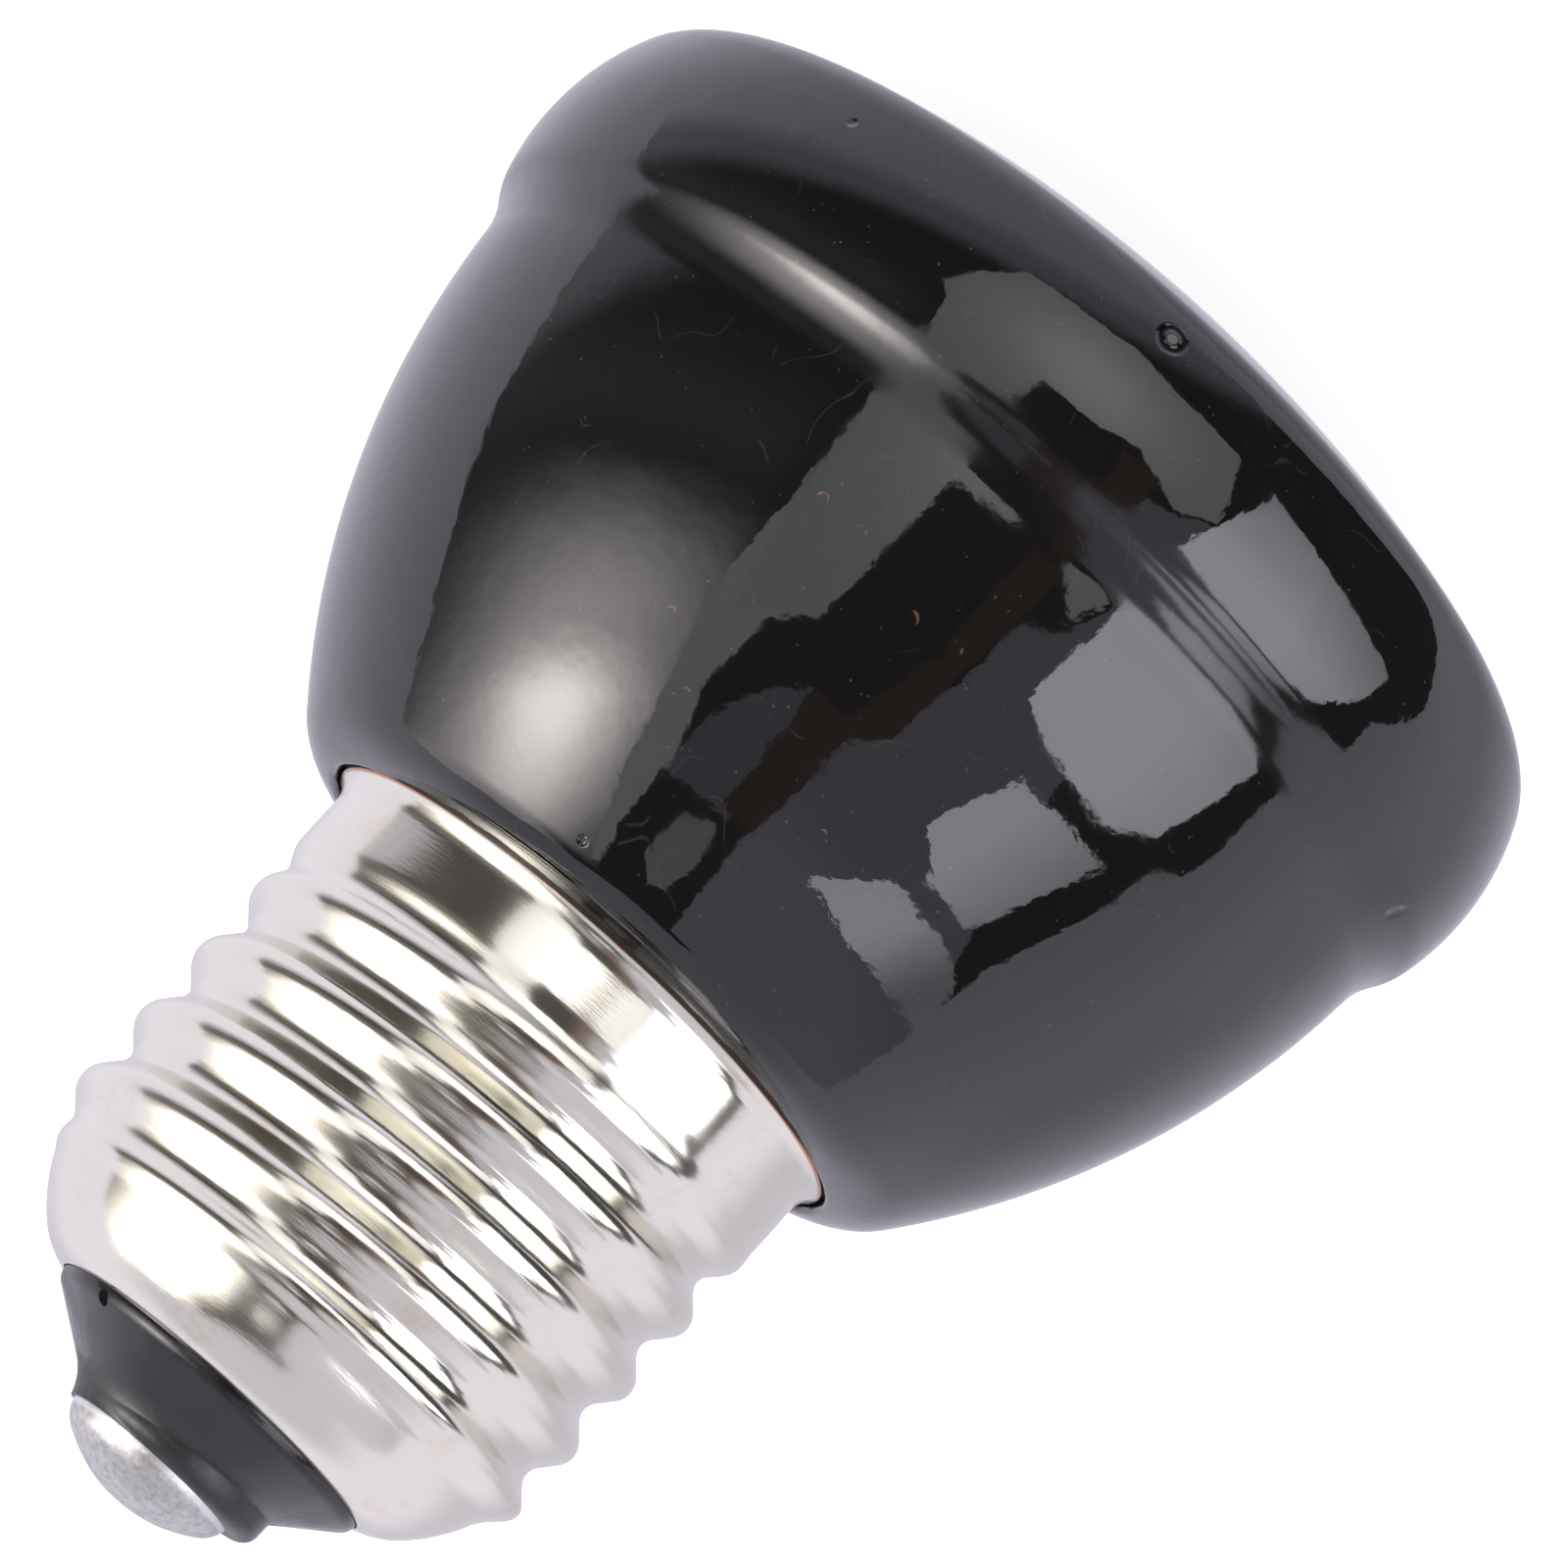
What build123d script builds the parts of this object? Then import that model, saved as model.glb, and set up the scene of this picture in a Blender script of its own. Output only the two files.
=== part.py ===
from build123d import *
from math import acos, asin, atan2, cos, degrees, radians, sin, sqrt, tan
import os

# Ceramic heat emitter with a screw cap, stored cap up on the small flat of its domed face.
# +Z runs along the axis of revolution, from that flat to the tip contact.
# Meridians are drawn in the XZ plane as points of a radius and a height.

# Bell of glazed ceramic, heights from the flat of its face
bell_height = 37.66
face_flat_diameter = 14.0
face_dome_radius = 62.0
face_corner_radius = 2.8
rim_diameter = 52.7
rim_height = 10.1
rim_bulge_radius = 10.8
rim_shoulder_turn = 15.5
rim_shoulder_radius = 3.9
waist_fillet_radius = 6.65
side_inset = 1.4
side_height = 12.4
neck_corner_radius = 4.0
neck_ring_inset = 0.21
seat_edge_radius = 0.3

# Screw cap, heights from the plane of its lip
shell_height = 23.43
sheet_thickness = 0.3
lip_sink = 0.21
lip_flare_width = 0.575
lip_flare_radius = 1.2
skirt_inset = 0.075
skirt_height = 3.2
thread_crest_diameter = 26.1
thread_depth = 1.0
thread_pitch = 3.629
thread_flank_angle = 41.0
thread_start_height = 2.4
thread_fade = 2.6
thread_run_out = 2.0
thread_end_turn = 26.0
shoulder_radius = 8.3
shoulder_turn = 45.0
shell_edge_radius = 3.8
shell_edge_turn = 78.3

# Glass insulator that closes the cap
glass_floor_step = 0.3
glass_corner_radius = 0.7
glass_cone_angle = 54.0
glass_neck_fillet = 2.5
glass_neck_diameter = 8.6
boss_diameter = 9.9
boss_offset = 0.45
boss_depth = 1.7
boss_edge_radius = 0.75

# Tip contact: a plate with a hollow stem under a dome of solder
tip_height = 5.72
dome_height = 2.05
dome_radius = 6.5
dome_edge_radius = 1.45
dome_diameter = 8.44
plate_diameter = 7.6
plate_thickness = 0.3
stem_diameter = 2.4
stem_wall = 0.4
stem_reach = 0.3

# Inside the cap
cement_thickness = 1.25
cap_cavity_height = 4.3
plug_edge_radius = 0.6
lead_diameter = 0.8
lead_spacing = 7.0
lead_hole_depth = 6.0
lead_bend_radius = 1.2
lead_rise = 1.3
lead_solder_cover = 1.1
side_lead_end_height = 2.0

# Clearances
lip_gap = 0.25
lip_side_gap = 0.2
glass_gap = 0.02
cement_gap = 0.05
lead_gap = 0.05
slot_gap = 0.1
contact_gap = 0.01

# Sampling of the threaded sheet
section_step_angle = 15
thread_point_count = 58
bend_point_count = 5
slope_reach = 0.01

lip_level = bell_height - lip_sink
cap_height = shell_height + tip_height
contact_seat = cap_height - dome_height
crest_radius = thread_crest_diameter / 2
root_radius = crest_radius - thread_depth
mean_radius = crest_radius - thread_depth / 2
skirt_radius = crest_radius - skirt_inset
lip_radius = skirt_radius + lip_flare_width
flare_turn = degrees(acos(1 - lip_flare_width / lip_flare_radius))
lip_drop = sheet_thickness * sin(radians(flare_turn))


def at(radius, height):
    """A point of the bell's meridian, its height from the flat of the face."""
    return Vector(radius, 0, height)


def above_lip(radius, height):
    """A point of the cap's meridian, its height from the plane of the lip."""
    return Vector(radius, 0, lip_level + height)


def toward(start, goal, reach):
    """The point that lies reach from start on the way to goal."""
    return start + (goal - start).normalized() * reach


def on_circle(centre, radius, angle):
    """The point of a circle at an angle in degrees up from the outward direction."""
    return centre + Vector(cos(radians(angle)), 0, sin(radians(angle))) * radius


def crossing(first, first_reach, second, second_reach, side):
    """The point at two given distances from two centres, on one side of their line."""
    gap = second - first
    along = (gap.length**2 + first_reach**2 - second_reach**2) / (2 * gap.length)
    away = sqrt(first_reach**2 - along**2)
    direction = gap.normalized()
    square = Vector(-direction.Z, 0, direction.X)
    return first + direction * along + square * (side * away)


def arc(centre, start, end):
    """The short way round a circle from start to end."""
    middle = toward(centre, (start + end) * 0.5, (start - centre).length)
    return ThreePointArc(start, middle, end)


def turned(*edges):
    """The solid that a closed meridian sweeps about the axis."""
    return revolve(make_face(edges), Axis.Z, 360)


def pin(radius, low, high, place=0.0):
    """A round pin along Z between two heights over the lip, at a place along X."""
    shape = Cylinder(radius, high - low, align=(Align.CENTER, Align.CENTER, Align.MIN))
    return Pos(place, 0, lip_level + low) * shape


# The cap's shoulder is a small arc at its hole and a large one that ends at the thread
arc_gap = shoulder_radius - shell_edge_radius
shoulder_drop = arc_gap * sin(radians(shoulder_turn))
shoulder_centre = above_lip(
    mean_radius - shoulder_radius, shell_height - shell_edge_radius - shoulder_drop
)
edge_centre = on_circle(shoulder_centre, arc_gap, shoulder_turn)
thread_end_height = on_circle(shoulder_centre, shoulder_radius, thread_end_turn).Z - lip_level
flare_height = lip_flare_radius * sin(radians(flare_turn))
flare_centre = above_lip(skirt_radius + lip_flare_radius, flare_height)

# Inside the cap the plug ends below the glass, with the cement round it
glass_floor_height = thread_end_height + glass_floor_step
plug_height = glass_floor_height - cap_cavity_height
cement_radius = root_radius - sheet_thickness - cement_gap
plug_radius = cement_radius - cement_thickness
lead_radius = lead_diameter / 2
side_lead_place = cement_radius - lead_radius

# The bell's section is a chain of circles that touch: face, corner, rim, its shoulder,
# waist, side, neck
flat_radius = face_flat_diameter / 2
face_centre = at(0, sqrt(face_dome_radius**2 - flat_radius**2))
rim_centre = at(rim_diameter / 2 - rim_bulge_radius, rim_height)
rim_shoulder = on_circle(rim_centre, rim_bulge_radius - rim_shoulder_radius, rim_shoulder_turn)
seat_radius = lip_radius + lip_side_gap
seat_floor = lip_level - lip_drop - lip_gap
neck_corner = at(seat_radius - neck_ring_inset, bell_height - neck_corner_radius)
side_reach = rim_diameter / 2 - side_inset
side_run = side_reach - neck_corner.X
side_rise = neck_corner.Z - side_height
side_radius = (side_run**2 + side_rise**2 - neck_corner_radius**2) / (
    2 * (side_run - neck_corner_radius)
)
side_centre = at(side_reach - side_radius, side_height)
face_corner = crossing(
    face_centre,
    face_dome_radius - face_corner_radius,
    rim_centre,
    rim_bulge_radius - face_corner_radius,
    1,
)
waist = crossing(
    rim_shoulder,
    rim_shoulder_radius + waist_fillet_radius,
    side_centre,
    side_radius + waist_fillet_radius,
    -1,
)
seat_edge_run = neck_ring_inset + seat_edge_radius
seat_edge = neck_corner + Vector(
    seat_edge_run, 0, sqrt((neck_corner_radius - seat_edge_radius) ** 2 - seat_edge_run**2)
)


def build_bell():
    """The glazed body, with the recess for the lip and the plug that fills the cap."""
    face_end = toward(face_centre, face_corner, face_dome_radius)
    corner_end = toward(rim_centre, face_corner, rim_bulge_radius)
    bulge_end = on_circle(rim_centre, rim_bulge_radius, rim_shoulder_turn)
    rim_end = toward(rim_shoulder, waist, rim_shoulder_radius)
    side_start = toward(side_centre, waist, side_radius)
    side_end = toward(side_centre, neck_corner, side_radius)
    ring_top = toward(neck_corner, seat_edge, neck_corner_radius)
    seat_top = at(seat_radius, seat_edge.Z)
    seat_out = at(seat_radius, seat_floor)
    seat_in = at(plug_radius, seat_floor)
    plug_edge = above_lip(plug_radius - plug_edge_radius, plug_height - plug_edge_radius)
    plug_side = on_circle(plug_edge, plug_edge_radius, 0)
    plug_face = on_circle(plug_edge, plug_edge_radius, 90)
    plug_centre = above_lip(0, plug_height)
    bell = turned(
        Line(at(0, 0), at(flat_radius, 0)),
        arc(face_centre, at(flat_radius, 0), face_end),
        arc(face_corner, face_end, corner_end),
        arc(rim_centre, corner_end, bulge_end),
        arc(rim_shoulder, bulge_end, rim_end),
        arc(waist, rim_end, side_start),
        arc(side_centre, side_start, side_end),
        arc(neck_corner, side_end, ring_top),
        arc(seat_edge, ring_top, seat_top),
        Line(seat_top, seat_out),
        Line(seat_out, seat_in),
        Line(seat_in, plug_side),
        arc(plug_edge, plug_side, plug_face),
        Line(plug_face, plug_centre),
        Line(plug_centre, at(0, 0)),
    )
    for place in (lead_spacing / 2, -lead_spacing / 2):
        hole_floor = plug_height - lead_hole_depth
        bell -= pin(lead_radius + lead_gap, hole_floor, plug_height, place)
    return bell


def eased(share):
    """A smooth step from 0 to 1."""
    share = min(max(share, 0), 1)
    return share * share * (3 - 2 * share)


def thread_radius(from_crest):
    """The full thread's radius beside its crest line: arcs and straight flanks."""
    flank = radians(thread_flank_angle)
    half = thread_pitch / 2
    spare = half * tan(flank) - thread_depth
    bend = spare / (2 * sin(flank) * tan(flank) - 2 * (1 - cos(flank)))
    away = abs((from_crest + half) % thread_pitch - half)
    if away < bend * sin(flank):
        return crest_radius - bend + sqrt(bend**2 - away**2)
    if half - away < bend * sin(flank):
        return root_radius + bend - sqrt(bend**2 - (half - away) ** 2)
    return mean_radius + (half / 2 - away) * tan(flank)


def cap_radius(height, angle):
    """The cap's outer radius over the threaded zone, with the thread faded at both ends."""
    rise = max(lip_level + height - shoulder_centre.Z, 0)
    blank = shoulder_centre.X + sqrt(shoulder_radius**2 - rise**2)
    crest = thread_start_height + thread_pitch * angle / 360
    full = eased((thread_end_height - height) / thread_run_out)
    plain = eased((skirt_height + thread_fade - height) / thread_fade)
    rolled = blank * (1 - full) + thread_radius(height - crest) * full
    return rolled * (1 - plain) + skirt_radius * plain


def spread(start, end, count):
    """Evenly spaced values from start, without the end."""
    return [start + (end - start) * i / count for i in range(count)]


def cap_outline(angle):
    """The sheet's outer points from hole to lip, each with its facing and its travel."""
    rows = []
    travel = 0
    for facing in spread(shell_edge_turn, shoulder_turn, bend_point_count):
        rows.append((on_circle(edge_centre, shell_edge_radius, facing), facing, travel))
        travel += radians(shell_edge_turn - shoulder_turn) * shell_edge_radius / bend_point_count
    for facing in spread(shoulder_turn, thread_end_turn, bend_point_count):
        rows.append((on_circle(shoulder_centre, shoulder_radius, facing), facing, travel))
        travel += radians(shoulder_turn - thread_end_turn) * shoulder_radius / bend_point_count
    for height in spread(thread_end_height, skirt_height, thread_point_count):
        below = cap_radius(height - slope_reach, angle)
        above = cap_radius(height + slope_reach, angle)
        facing = degrees(atan2(below - above, 2 * slope_reach))
        rows.append((above_lip(cap_radius(height, angle), height), facing, travel))
        travel += (thread_end_height - skirt_height) / thread_point_count
    for height in spread(skirt_height, flare_height, bend_point_count):
        rows.append((above_lip(skirt_radius, height), 0, travel))
        travel += (skirt_height - flare_height) / bend_point_count
    for facing in spread(0, flare_turn, bend_point_count) + [flare_turn]:
        rows.append((on_circle(flare_centre, lip_flare_radius, 180 + facing), facing, travel))
        travel += radians(flare_turn) * lip_flare_radius / bend_point_count
    return rows


def cap_section(angle):
    """The sheet's closed section at an angle about the axis."""
    rows = cap_outline(angle)
    outer = [point for point, facing, travel in rows]
    inner = [on_circle(point, -sheet_thickness, facing) for point, facing, travel in rows]
    parameters = [travel / rows[-1][2] for point, facing, travel in rows]
    section = Wire(
        [
            Edge.make_spline(outer, parameters=parameters),
            Edge.make_line(outer[-1], inner[-1]),
            Edge.make_spline(inner, parameters=parameters),
            Edge.make_line(inner[0], outer[0]),
        ]
    )
    return section.rotate(Axis.Z, angle)


def build_shell():
    """The rolled sheet of the screw cap, lofted in two halves through its sections."""
    half_turn = 180
    halves = []
    for start in (0, half_turn):
        angles = range(start, start + half_turn + section_step_angle, section_step_angle)
        halves.append(Solid.make_loft([cap_section(angle) for angle in angles]))
    return halves[0].fuse(halves[1])


def build_insulator():
    """Black glass: a plug under the cap's shoulder, a cone outside it and an uneven boss."""
    inset = sheet_thickness + glass_gap
    floor_rise = lip_level + glass_floor_height - shoulder_centre.Z
    floor_turn = degrees(asin(floor_rise / (shoulder_radius - inset)))
    floor_out = on_circle(shoulder_centre, shoulder_radius - inset, floor_turn)
    inside_bend = on_circle(edge_centre, shell_edge_radius - inset, shoulder_turn)
    inside_throat = on_circle(edge_centre, shell_edge_radius - inset, shell_edge_turn)
    outside_throat = on_circle(edge_centre, shell_edge_radius, shell_edge_turn)
    cone_start = at(inside_throat.X, outside_throat.Z)
    corner = cone_start - Vector(glass_corner_radius, 0, 0)
    cone_top = on_circle(corner, glass_corner_radius, glass_cone_angle)
    neck_radius = glass_neck_diameter / 2
    fillet_run = glass_neck_fillet * (1 - cos(radians(glass_cone_angle)))
    cone_run = cone_top.X - neck_radius - fillet_run
    cone_end = cone_top + Vector(-cone_run, 0, cone_run / tan(radians(glass_cone_angle)))
    neck_centre = on_circle(cone_end, glass_neck_fillet, glass_cone_angle)
    neck_rise = neck_centre.Z - lip_level - contact_seat
    neck_run = sqrt(glass_neck_fillet**2 - neck_rise**2)
    neck_top = neck_centre - Vector(neck_run, 0, neck_rise)
    glass = turned(
        Line(above_lip(0, glass_floor_height), floor_out),
        arc(shoulder_centre, floor_out, inside_bend),
        arc(edge_centre, inside_bend, inside_throat),
        Line(inside_throat, cone_start),
        arc(corner, cone_start, cone_top),
        Line(cone_top, cone_end),
        arc(neck_centre, cone_end, neck_top),
        Line(neck_top, above_lip(0, contact_seat)),
        Line(above_lip(0, contact_seat), above_lip(0, glass_floor_height)),
    )
    boss = pin(boss_diameter / 2, contact_seat - boss_depth, contact_seat)
    boss = fillet(boss.edges().sort_by(Axis.Z)[-1], boss_edge_radius)
    glass += Pos(-boss_offset, 0, 0) * boss
    return glass - pin(stem_diameter / 2 + glass_gap, glass_floor_height, contact_seat)


def build_plate():
    """The tip's contact plate with its hollow stem through the glass."""
    low = glass_floor_height - stem_reach
    plate = pin(plate_diameter / 2, contact_seat, contact_seat + plate_thickness)
    plate += pin(stem_diameter / 2, low, contact_seat)
    return plate - pin(stem_diameter / 2 - stem_wall, low, contact_seat + plate_thickness)


def build_solder():
    """The dome of solder over the plate, with the centre lead's end in it."""
    apex = above_lip(0, cap_height)
    dome_centre = above_lip(0, cap_height - dome_radius)
    edge_run = dome_diameter / 2 - dome_edge_radius
    edge_rise = sqrt((dome_radius - dome_edge_radius) ** 2 - edge_run**2)
    edge_round = dome_centre + Vector(edge_run, 0, edge_rise)
    edge_drop = edge_round.Z - lip_level - contact_seat
    foot = edge_round + Vector(sqrt(dome_edge_radius**2 - edge_drop**2), 0, -edge_drop)
    dome_end = toward(dome_centre, edge_round, dome_radius)
    plate_side = above_lip(plate_diameter / 2 + contact_gap, contact_seat)
    plate_top = plate_side + Vector(0, 0, plate_thickness + contact_gap)
    solder = turned(
        arc(dome_centre, apex, dome_end),
        arc(edge_round, dome_end, foot),
        Line(foot, plate_side),
        Line(plate_side, plate_top),
        Line(plate_top, Vector(0, 0, plate_top.Z)),
        Line(Vector(0, 0, plate_top.Z), apex),
    )
    lead_end = cap_height - lead_solder_cover
    return solder - pin(lead_radius + contact_gap, contact_seat, lead_end + contact_gap)


def build_cement():
    """The cement sleeve between the plug and the cap, slotted for the side lead."""
    foot = seat_floor - lip_level
    wide_radius = skirt_radius - sheet_thickness - cement_gap
    wide_top = skirt_height
    narrow_start = skirt_height + thread_fade / 2
    sleeve = turned(
        Line(above_lip(plug_radius, foot), above_lip(wide_radius, foot)),
        Line(above_lip(wide_radius, foot), above_lip(wide_radius, wide_top)),
        Line(above_lip(wide_radius, wide_top), above_lip(cement_radius, narrow_start)),
        Line(above_lip(cement_radius, narrow_start), above_lip(cement_radius, plug_height)),
        Line(above_lip(cement_radius, plug_height), above_lip(plug_radius, plug_height)),
        Line(above_lip(plug_radius, plug_height), above_lip(plug_radius, foot)),
    )
    slot_width = lead_diameter + 2 * slot_gap
    slot_low = side_lead_end_height - slot_gap
    slot = Box(
        wide_radius,
        slot_width,
        plug_height - slot_low,
        align=(Align.MAX, Align.CENTER, Align.MIN),
    )
    slot_floor = side_lead_place - lead_radius - slot_gap
    return sleeve - Pos(-slot_floor, 0, lip_level + slot_low) * slot


def build_lead(places, heights):
    """A wire along Z and across, through its corners' places along X and heights."""
    corners = [above_lip(place, height) for place, height in zip(places, heights)]
    path = FilletPolyline(*corners, radius=lead_bend_radius)
    return sweep(Plane(corners[0], z_dir=(0, 0, 1)) * Circle(lead_radius), path)


def build_centre_lead():
    """The lead from the body to the tip contact."""
    own = lead_spacing / 2
    bend_low = plug_height + lead_rise
    bend_high = glass_floor_height - stem_reach - lead_rise
    return build_lead(
        (own, own, 0, 0),
        (
            plug_height - lead_hole_depth,
            bend_low,
            bend_high,
            cap_height - lead_solder_cover,
        ),
    )


def build_side_lead():
    """The lead from the body over the plug's edge and down the cement to the cap."""
    own = -lead_spacing / 2
    over = plug_height + lead_rise
    return build_lead(
        (own, own, -side_lead_place, -side_lead_place),
        (plug_height - lead_hole_depth, over, over, side_lead_end_height),
    )


nodes = {
    "ceramic_body": build_bell(),
    "screw_shell": build_shell(),
    "base_insulator": build_insulator(),
    "contact_plate": build_plate(),
    "contact_solder": build_solder(),
    "neck_cement": build_cement(),
    "centre_lead": build_centre_lead(),
    "side_lead": build_side_lead(),
}

os.makedirs("parts", exist_ok=True)
for name, shape in nodes.items():
    shape.label = name
    export_step(shape, "parts/" + name + ".step")
    print(name, round(shape.volume, 2))
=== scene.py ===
from math import acos, asin, atan2, cos, exp, hypot, pi, radians, sin, sqrt, tan

import bmesh
import bpy
from bpy.props import FloatProperty, FloatVectorProperty, IntProperty, PointerProperty
from bpy.types import Operator, Panel, PropertyGroup
from mathutils import Matrix, Vector, noise


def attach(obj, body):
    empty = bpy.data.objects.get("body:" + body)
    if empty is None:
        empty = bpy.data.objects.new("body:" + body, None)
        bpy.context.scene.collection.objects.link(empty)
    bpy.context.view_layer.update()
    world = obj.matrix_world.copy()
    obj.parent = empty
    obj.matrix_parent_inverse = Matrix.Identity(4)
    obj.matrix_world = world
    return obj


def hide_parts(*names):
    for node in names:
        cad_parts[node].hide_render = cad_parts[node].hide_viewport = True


bl_info = {
    "name": "Ceramic Heat Emitter",
    "version": (1, 0, 0),
    "blender": (4, 5, 0),
    "location": "3D View > Sidebar > Heat Emitter",
    "description": "Models and finishes a bell-shaped ceramic heat emitter with a screw cap",
    "category": "Add Mesh",
}

MM = 0.001
# Distance under which two points of a piece are one
SAME_PLACE = 0.0002 * MM
# Degrees between faces from which an edge is sharp
SHARP_EDGE = 35
# How many times a card's long edges are halved at most
CARD_ROUNDS = 8
# Tints of the studio's cards
TENT = (1.0, 0.965, 1.12)
PANE = (1.0, 0.985, 1.08)
PALE = (1.0, 0.98, 1.01)
WARM = (1.0, 0.95, 0.93)
BROWN = (1.0, 0.62, 0.5)

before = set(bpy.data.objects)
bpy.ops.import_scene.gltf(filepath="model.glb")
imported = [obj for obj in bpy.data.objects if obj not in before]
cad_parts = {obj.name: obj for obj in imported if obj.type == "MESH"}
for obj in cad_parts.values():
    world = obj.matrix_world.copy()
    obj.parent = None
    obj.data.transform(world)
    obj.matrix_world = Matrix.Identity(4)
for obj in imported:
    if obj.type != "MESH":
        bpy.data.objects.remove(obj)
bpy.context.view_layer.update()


def length(name, millimetres, description):
    """A length property in metres, its default given in millimetres."""
    return FloatProperty(
        name=name, description=description, default=millimetres * MM, unit="LENGTH", precision=6
    )


def turn(name, degrees, description):
    """An angle property, its default given in degrees."""
    return FloatProperty(
        name=name, description=description, default=radians(degrees), unit="ROTATION"
    )


def colour(name, value, description):
    """A linear colour property."""
    return FloatVectorProperty(
        name=name, description=description, default=value, subtype="COLOR", size=3, min=0, max=1
    )


def count(name, value, description):
    """A whole number."""
    return IntProperty(name=name, description=description, default=value, min=3)


class BellSizes(PropertyGroup):
    """The glazed bell. Heights are from the flat of its face."""

    height: length("Height", 37.66, "From the flat of the face to the ring round the cap")
    face_flat_diameter: length("Face flat", 14, "Diameter of the flat that it stands on")
    face_dome_radius: length("Face dome", 62, "Radius of the domed face")
    face_corner_radius: length("Face corner", 2.8, "Rounding between the face and the rim")
    rim_diameter: length("Rim diameter", 52.7, "Widest diameter")
    rim_height: length("Rim height", 10.1, "Height of the widest ring")
    rim_bulge_radius: length("Rim bulge", 10.8, "Radius of the rim's section")
    rim_shoulder_turn: turn("Rim turn", 15, "Where the bulge turns into its tighter shoulder")
    rim_shoulder_radius: length("Rim shoulder", 2.5, "Radius of the bulge's shoulder")
    waist_fillet_radius: length("Waist", 4.5, "Hollow rounding between the rim and the side")
    side_inset: length("Side inset", 1.4, "How far the side's widest ring lies inside the rim")
    side_height: length("Side height", 12.4, "Height of the side's widest ring")
    neck_corner_radius: length("Neck corner", 4, "Rounding between the side and the ring")
    neck_ring_inset: length("Ring inset", 0.21, "How far the ring lies inside the lip's recess")
    seat_edge_radius: length("Seat edge", 0.3, "Rounding at the mouth of the recess")
    ripple: length("Ripple", 0.014, "How deep the fired surface sinks between its swells")
    ripple_length: length("Ripple length", 4.5, "From one swell of the surface to the next")
    ripple_fade: length("Ripple fade", 1, "Over which it starts beside the flat and the lip")
    segments: count("Segments", 240, "Faces round the axis")


class CapSizes(PropertyGroup):
    """The rolled sheet of the screw cap. Heights are from the plane of its lip."""

    shell_height: length("Height", 23.43, "From the lip to the top of the shoulder")
    sheet_thickness: length("Sheet", 0.3, "Thickness of the sheet")
    lip_sink: length("Lip sink", 0.21, "Depth of the lip below the ceramic ring")
    lip_flare_width: length("Lip flare", 0.575, "How far the lip stands out from the skirt")
    lip_flare_radius: length("Lip radius", 1.2, "Radius of the lip's flare")
    skirt_inset: length("Skirt inset", 0.075, "How far the skirt lies inside the crests")
    skirt_height: length("Skirt height", 3.2, "Top of the plain skirt")
    crest_diameter: length("Crest diameter", 26.1, "Over the thread's crests")
    thread_depth: length("Thread depth", 1, "From crest to root")
    pitch: length("Pitch", 3.629, "Seven threads to the inch")
    flank_angle: turn("Flank angle", 41, "Slope of the thread's flanks")
    thread_start: length("Thread start", 2.4, "Height of the crest line at its start")
    thread_fade: length("Thread fade", 2.6, "Height over which the thread rises from the skirt")
    thread_run_out: length("Thread run-out", 2, "Height over which it ends at the shoulder")
    thread_end_turn: turn("Thread end", 26, "Where on the shoulder the thread has run out")
    shoulder_radius: length("Shoulder", 8.3, "Radius of the shoulder's section")
    shoulder_turn: turn("Shoulder turn", 45, "Where the shoulder's smaller arc starts")
    edge_radius: length("Edge radius", 3.8, "Radius of the sheet at its hole")
    edge_turn: turn("Edge turn", 78.3, "Where the sheet ends at its hole")
    slope_reach: length("Slope reach", 0.01, "Step by which the sheet's slope is measured")
    segments: count("Segments", 224, "Faces round the axis")
    thread_rows: count("Thread rows", 120, "Rows of faces along the thread")
    bend_rows: count("Bend rows", 14, "Rows of faces in each arc of the shoulder")
    flare_rows: count("Flare rows", 10, "Rows of faces in the lip's flare")


class InsulatorSizes(PropertyGroup):
    """The black glass in the cap's mouth."""

    gap: length("Gap", 0.02, "Between the glass and the sheet")
    floor_step: length("Floor step", 0.3, "Height of its floor over the end of the thread")
    corner_radius: length("Corner", 0.7, "Rounding beside the sheet's edge")
    cone_angle: turn("Cone angle", 54, "Slope of the cone from the axis")
    neck_fillet: length("Neck fillet", 2.5, "Hollow rounding between the cone and the neck")
    neck_diameter: length("Neck diameter", 8.6, "Under the solder")
    boss_diameter: length("Boss diameter", 9.9, "Of the uneven lump round the neck")
    boss_offset: length("Boss offset", 0.45, "How far the lump sits off centre")
    boss_depth: length("Boss depth", 1.7, "Height of the lump")
    boss_edge_radius: length("Boss edge", 0.75, "Rounding of the lump's top")
    boss_blend: length("Boss blend", 0.12, "Width of the crease round the lump")
    segments: count("Segments", 200, "Faces round the axis")


class ContactSizes(PropertyGroup):
    """The dome of solder at the tip."""

    tip_height: length("Tip height", 5.72, "From the shoulder's top to the top of the dome")
    dome_height: length("Dome height", 2.05, "From the glass to the top of the dome")
    dome_radius: length("Dome radius", 6.5, "Radius of the dome")
    dome_edge_radius: length("Dome edge", 1.45, "Rounding of the dome's edge")
    dome_diameter: length("Dome diameter", 8.44, "Widest diameter")
    plate_diameter: length("Plate diameter", 7.6, "Of the plate under the dome")
    plate_thickness: length("Plate thickness", 0.3, "Of the plate under the dome")
    plate_gap: length("Plate gap", 0.01, "Between the solder and what it covers")
    stem_diameter: length("Stem diameter", 2.4, "Of the plate's stem in the glass")
    lump_height: length("Lumps", 0.035, "How uneven the solder is")
    lump_length: length("Lump length", 2.2, "From one swell of the solder to the next")
    segments: count("Segments", 160, "Faces round the axis")


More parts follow.
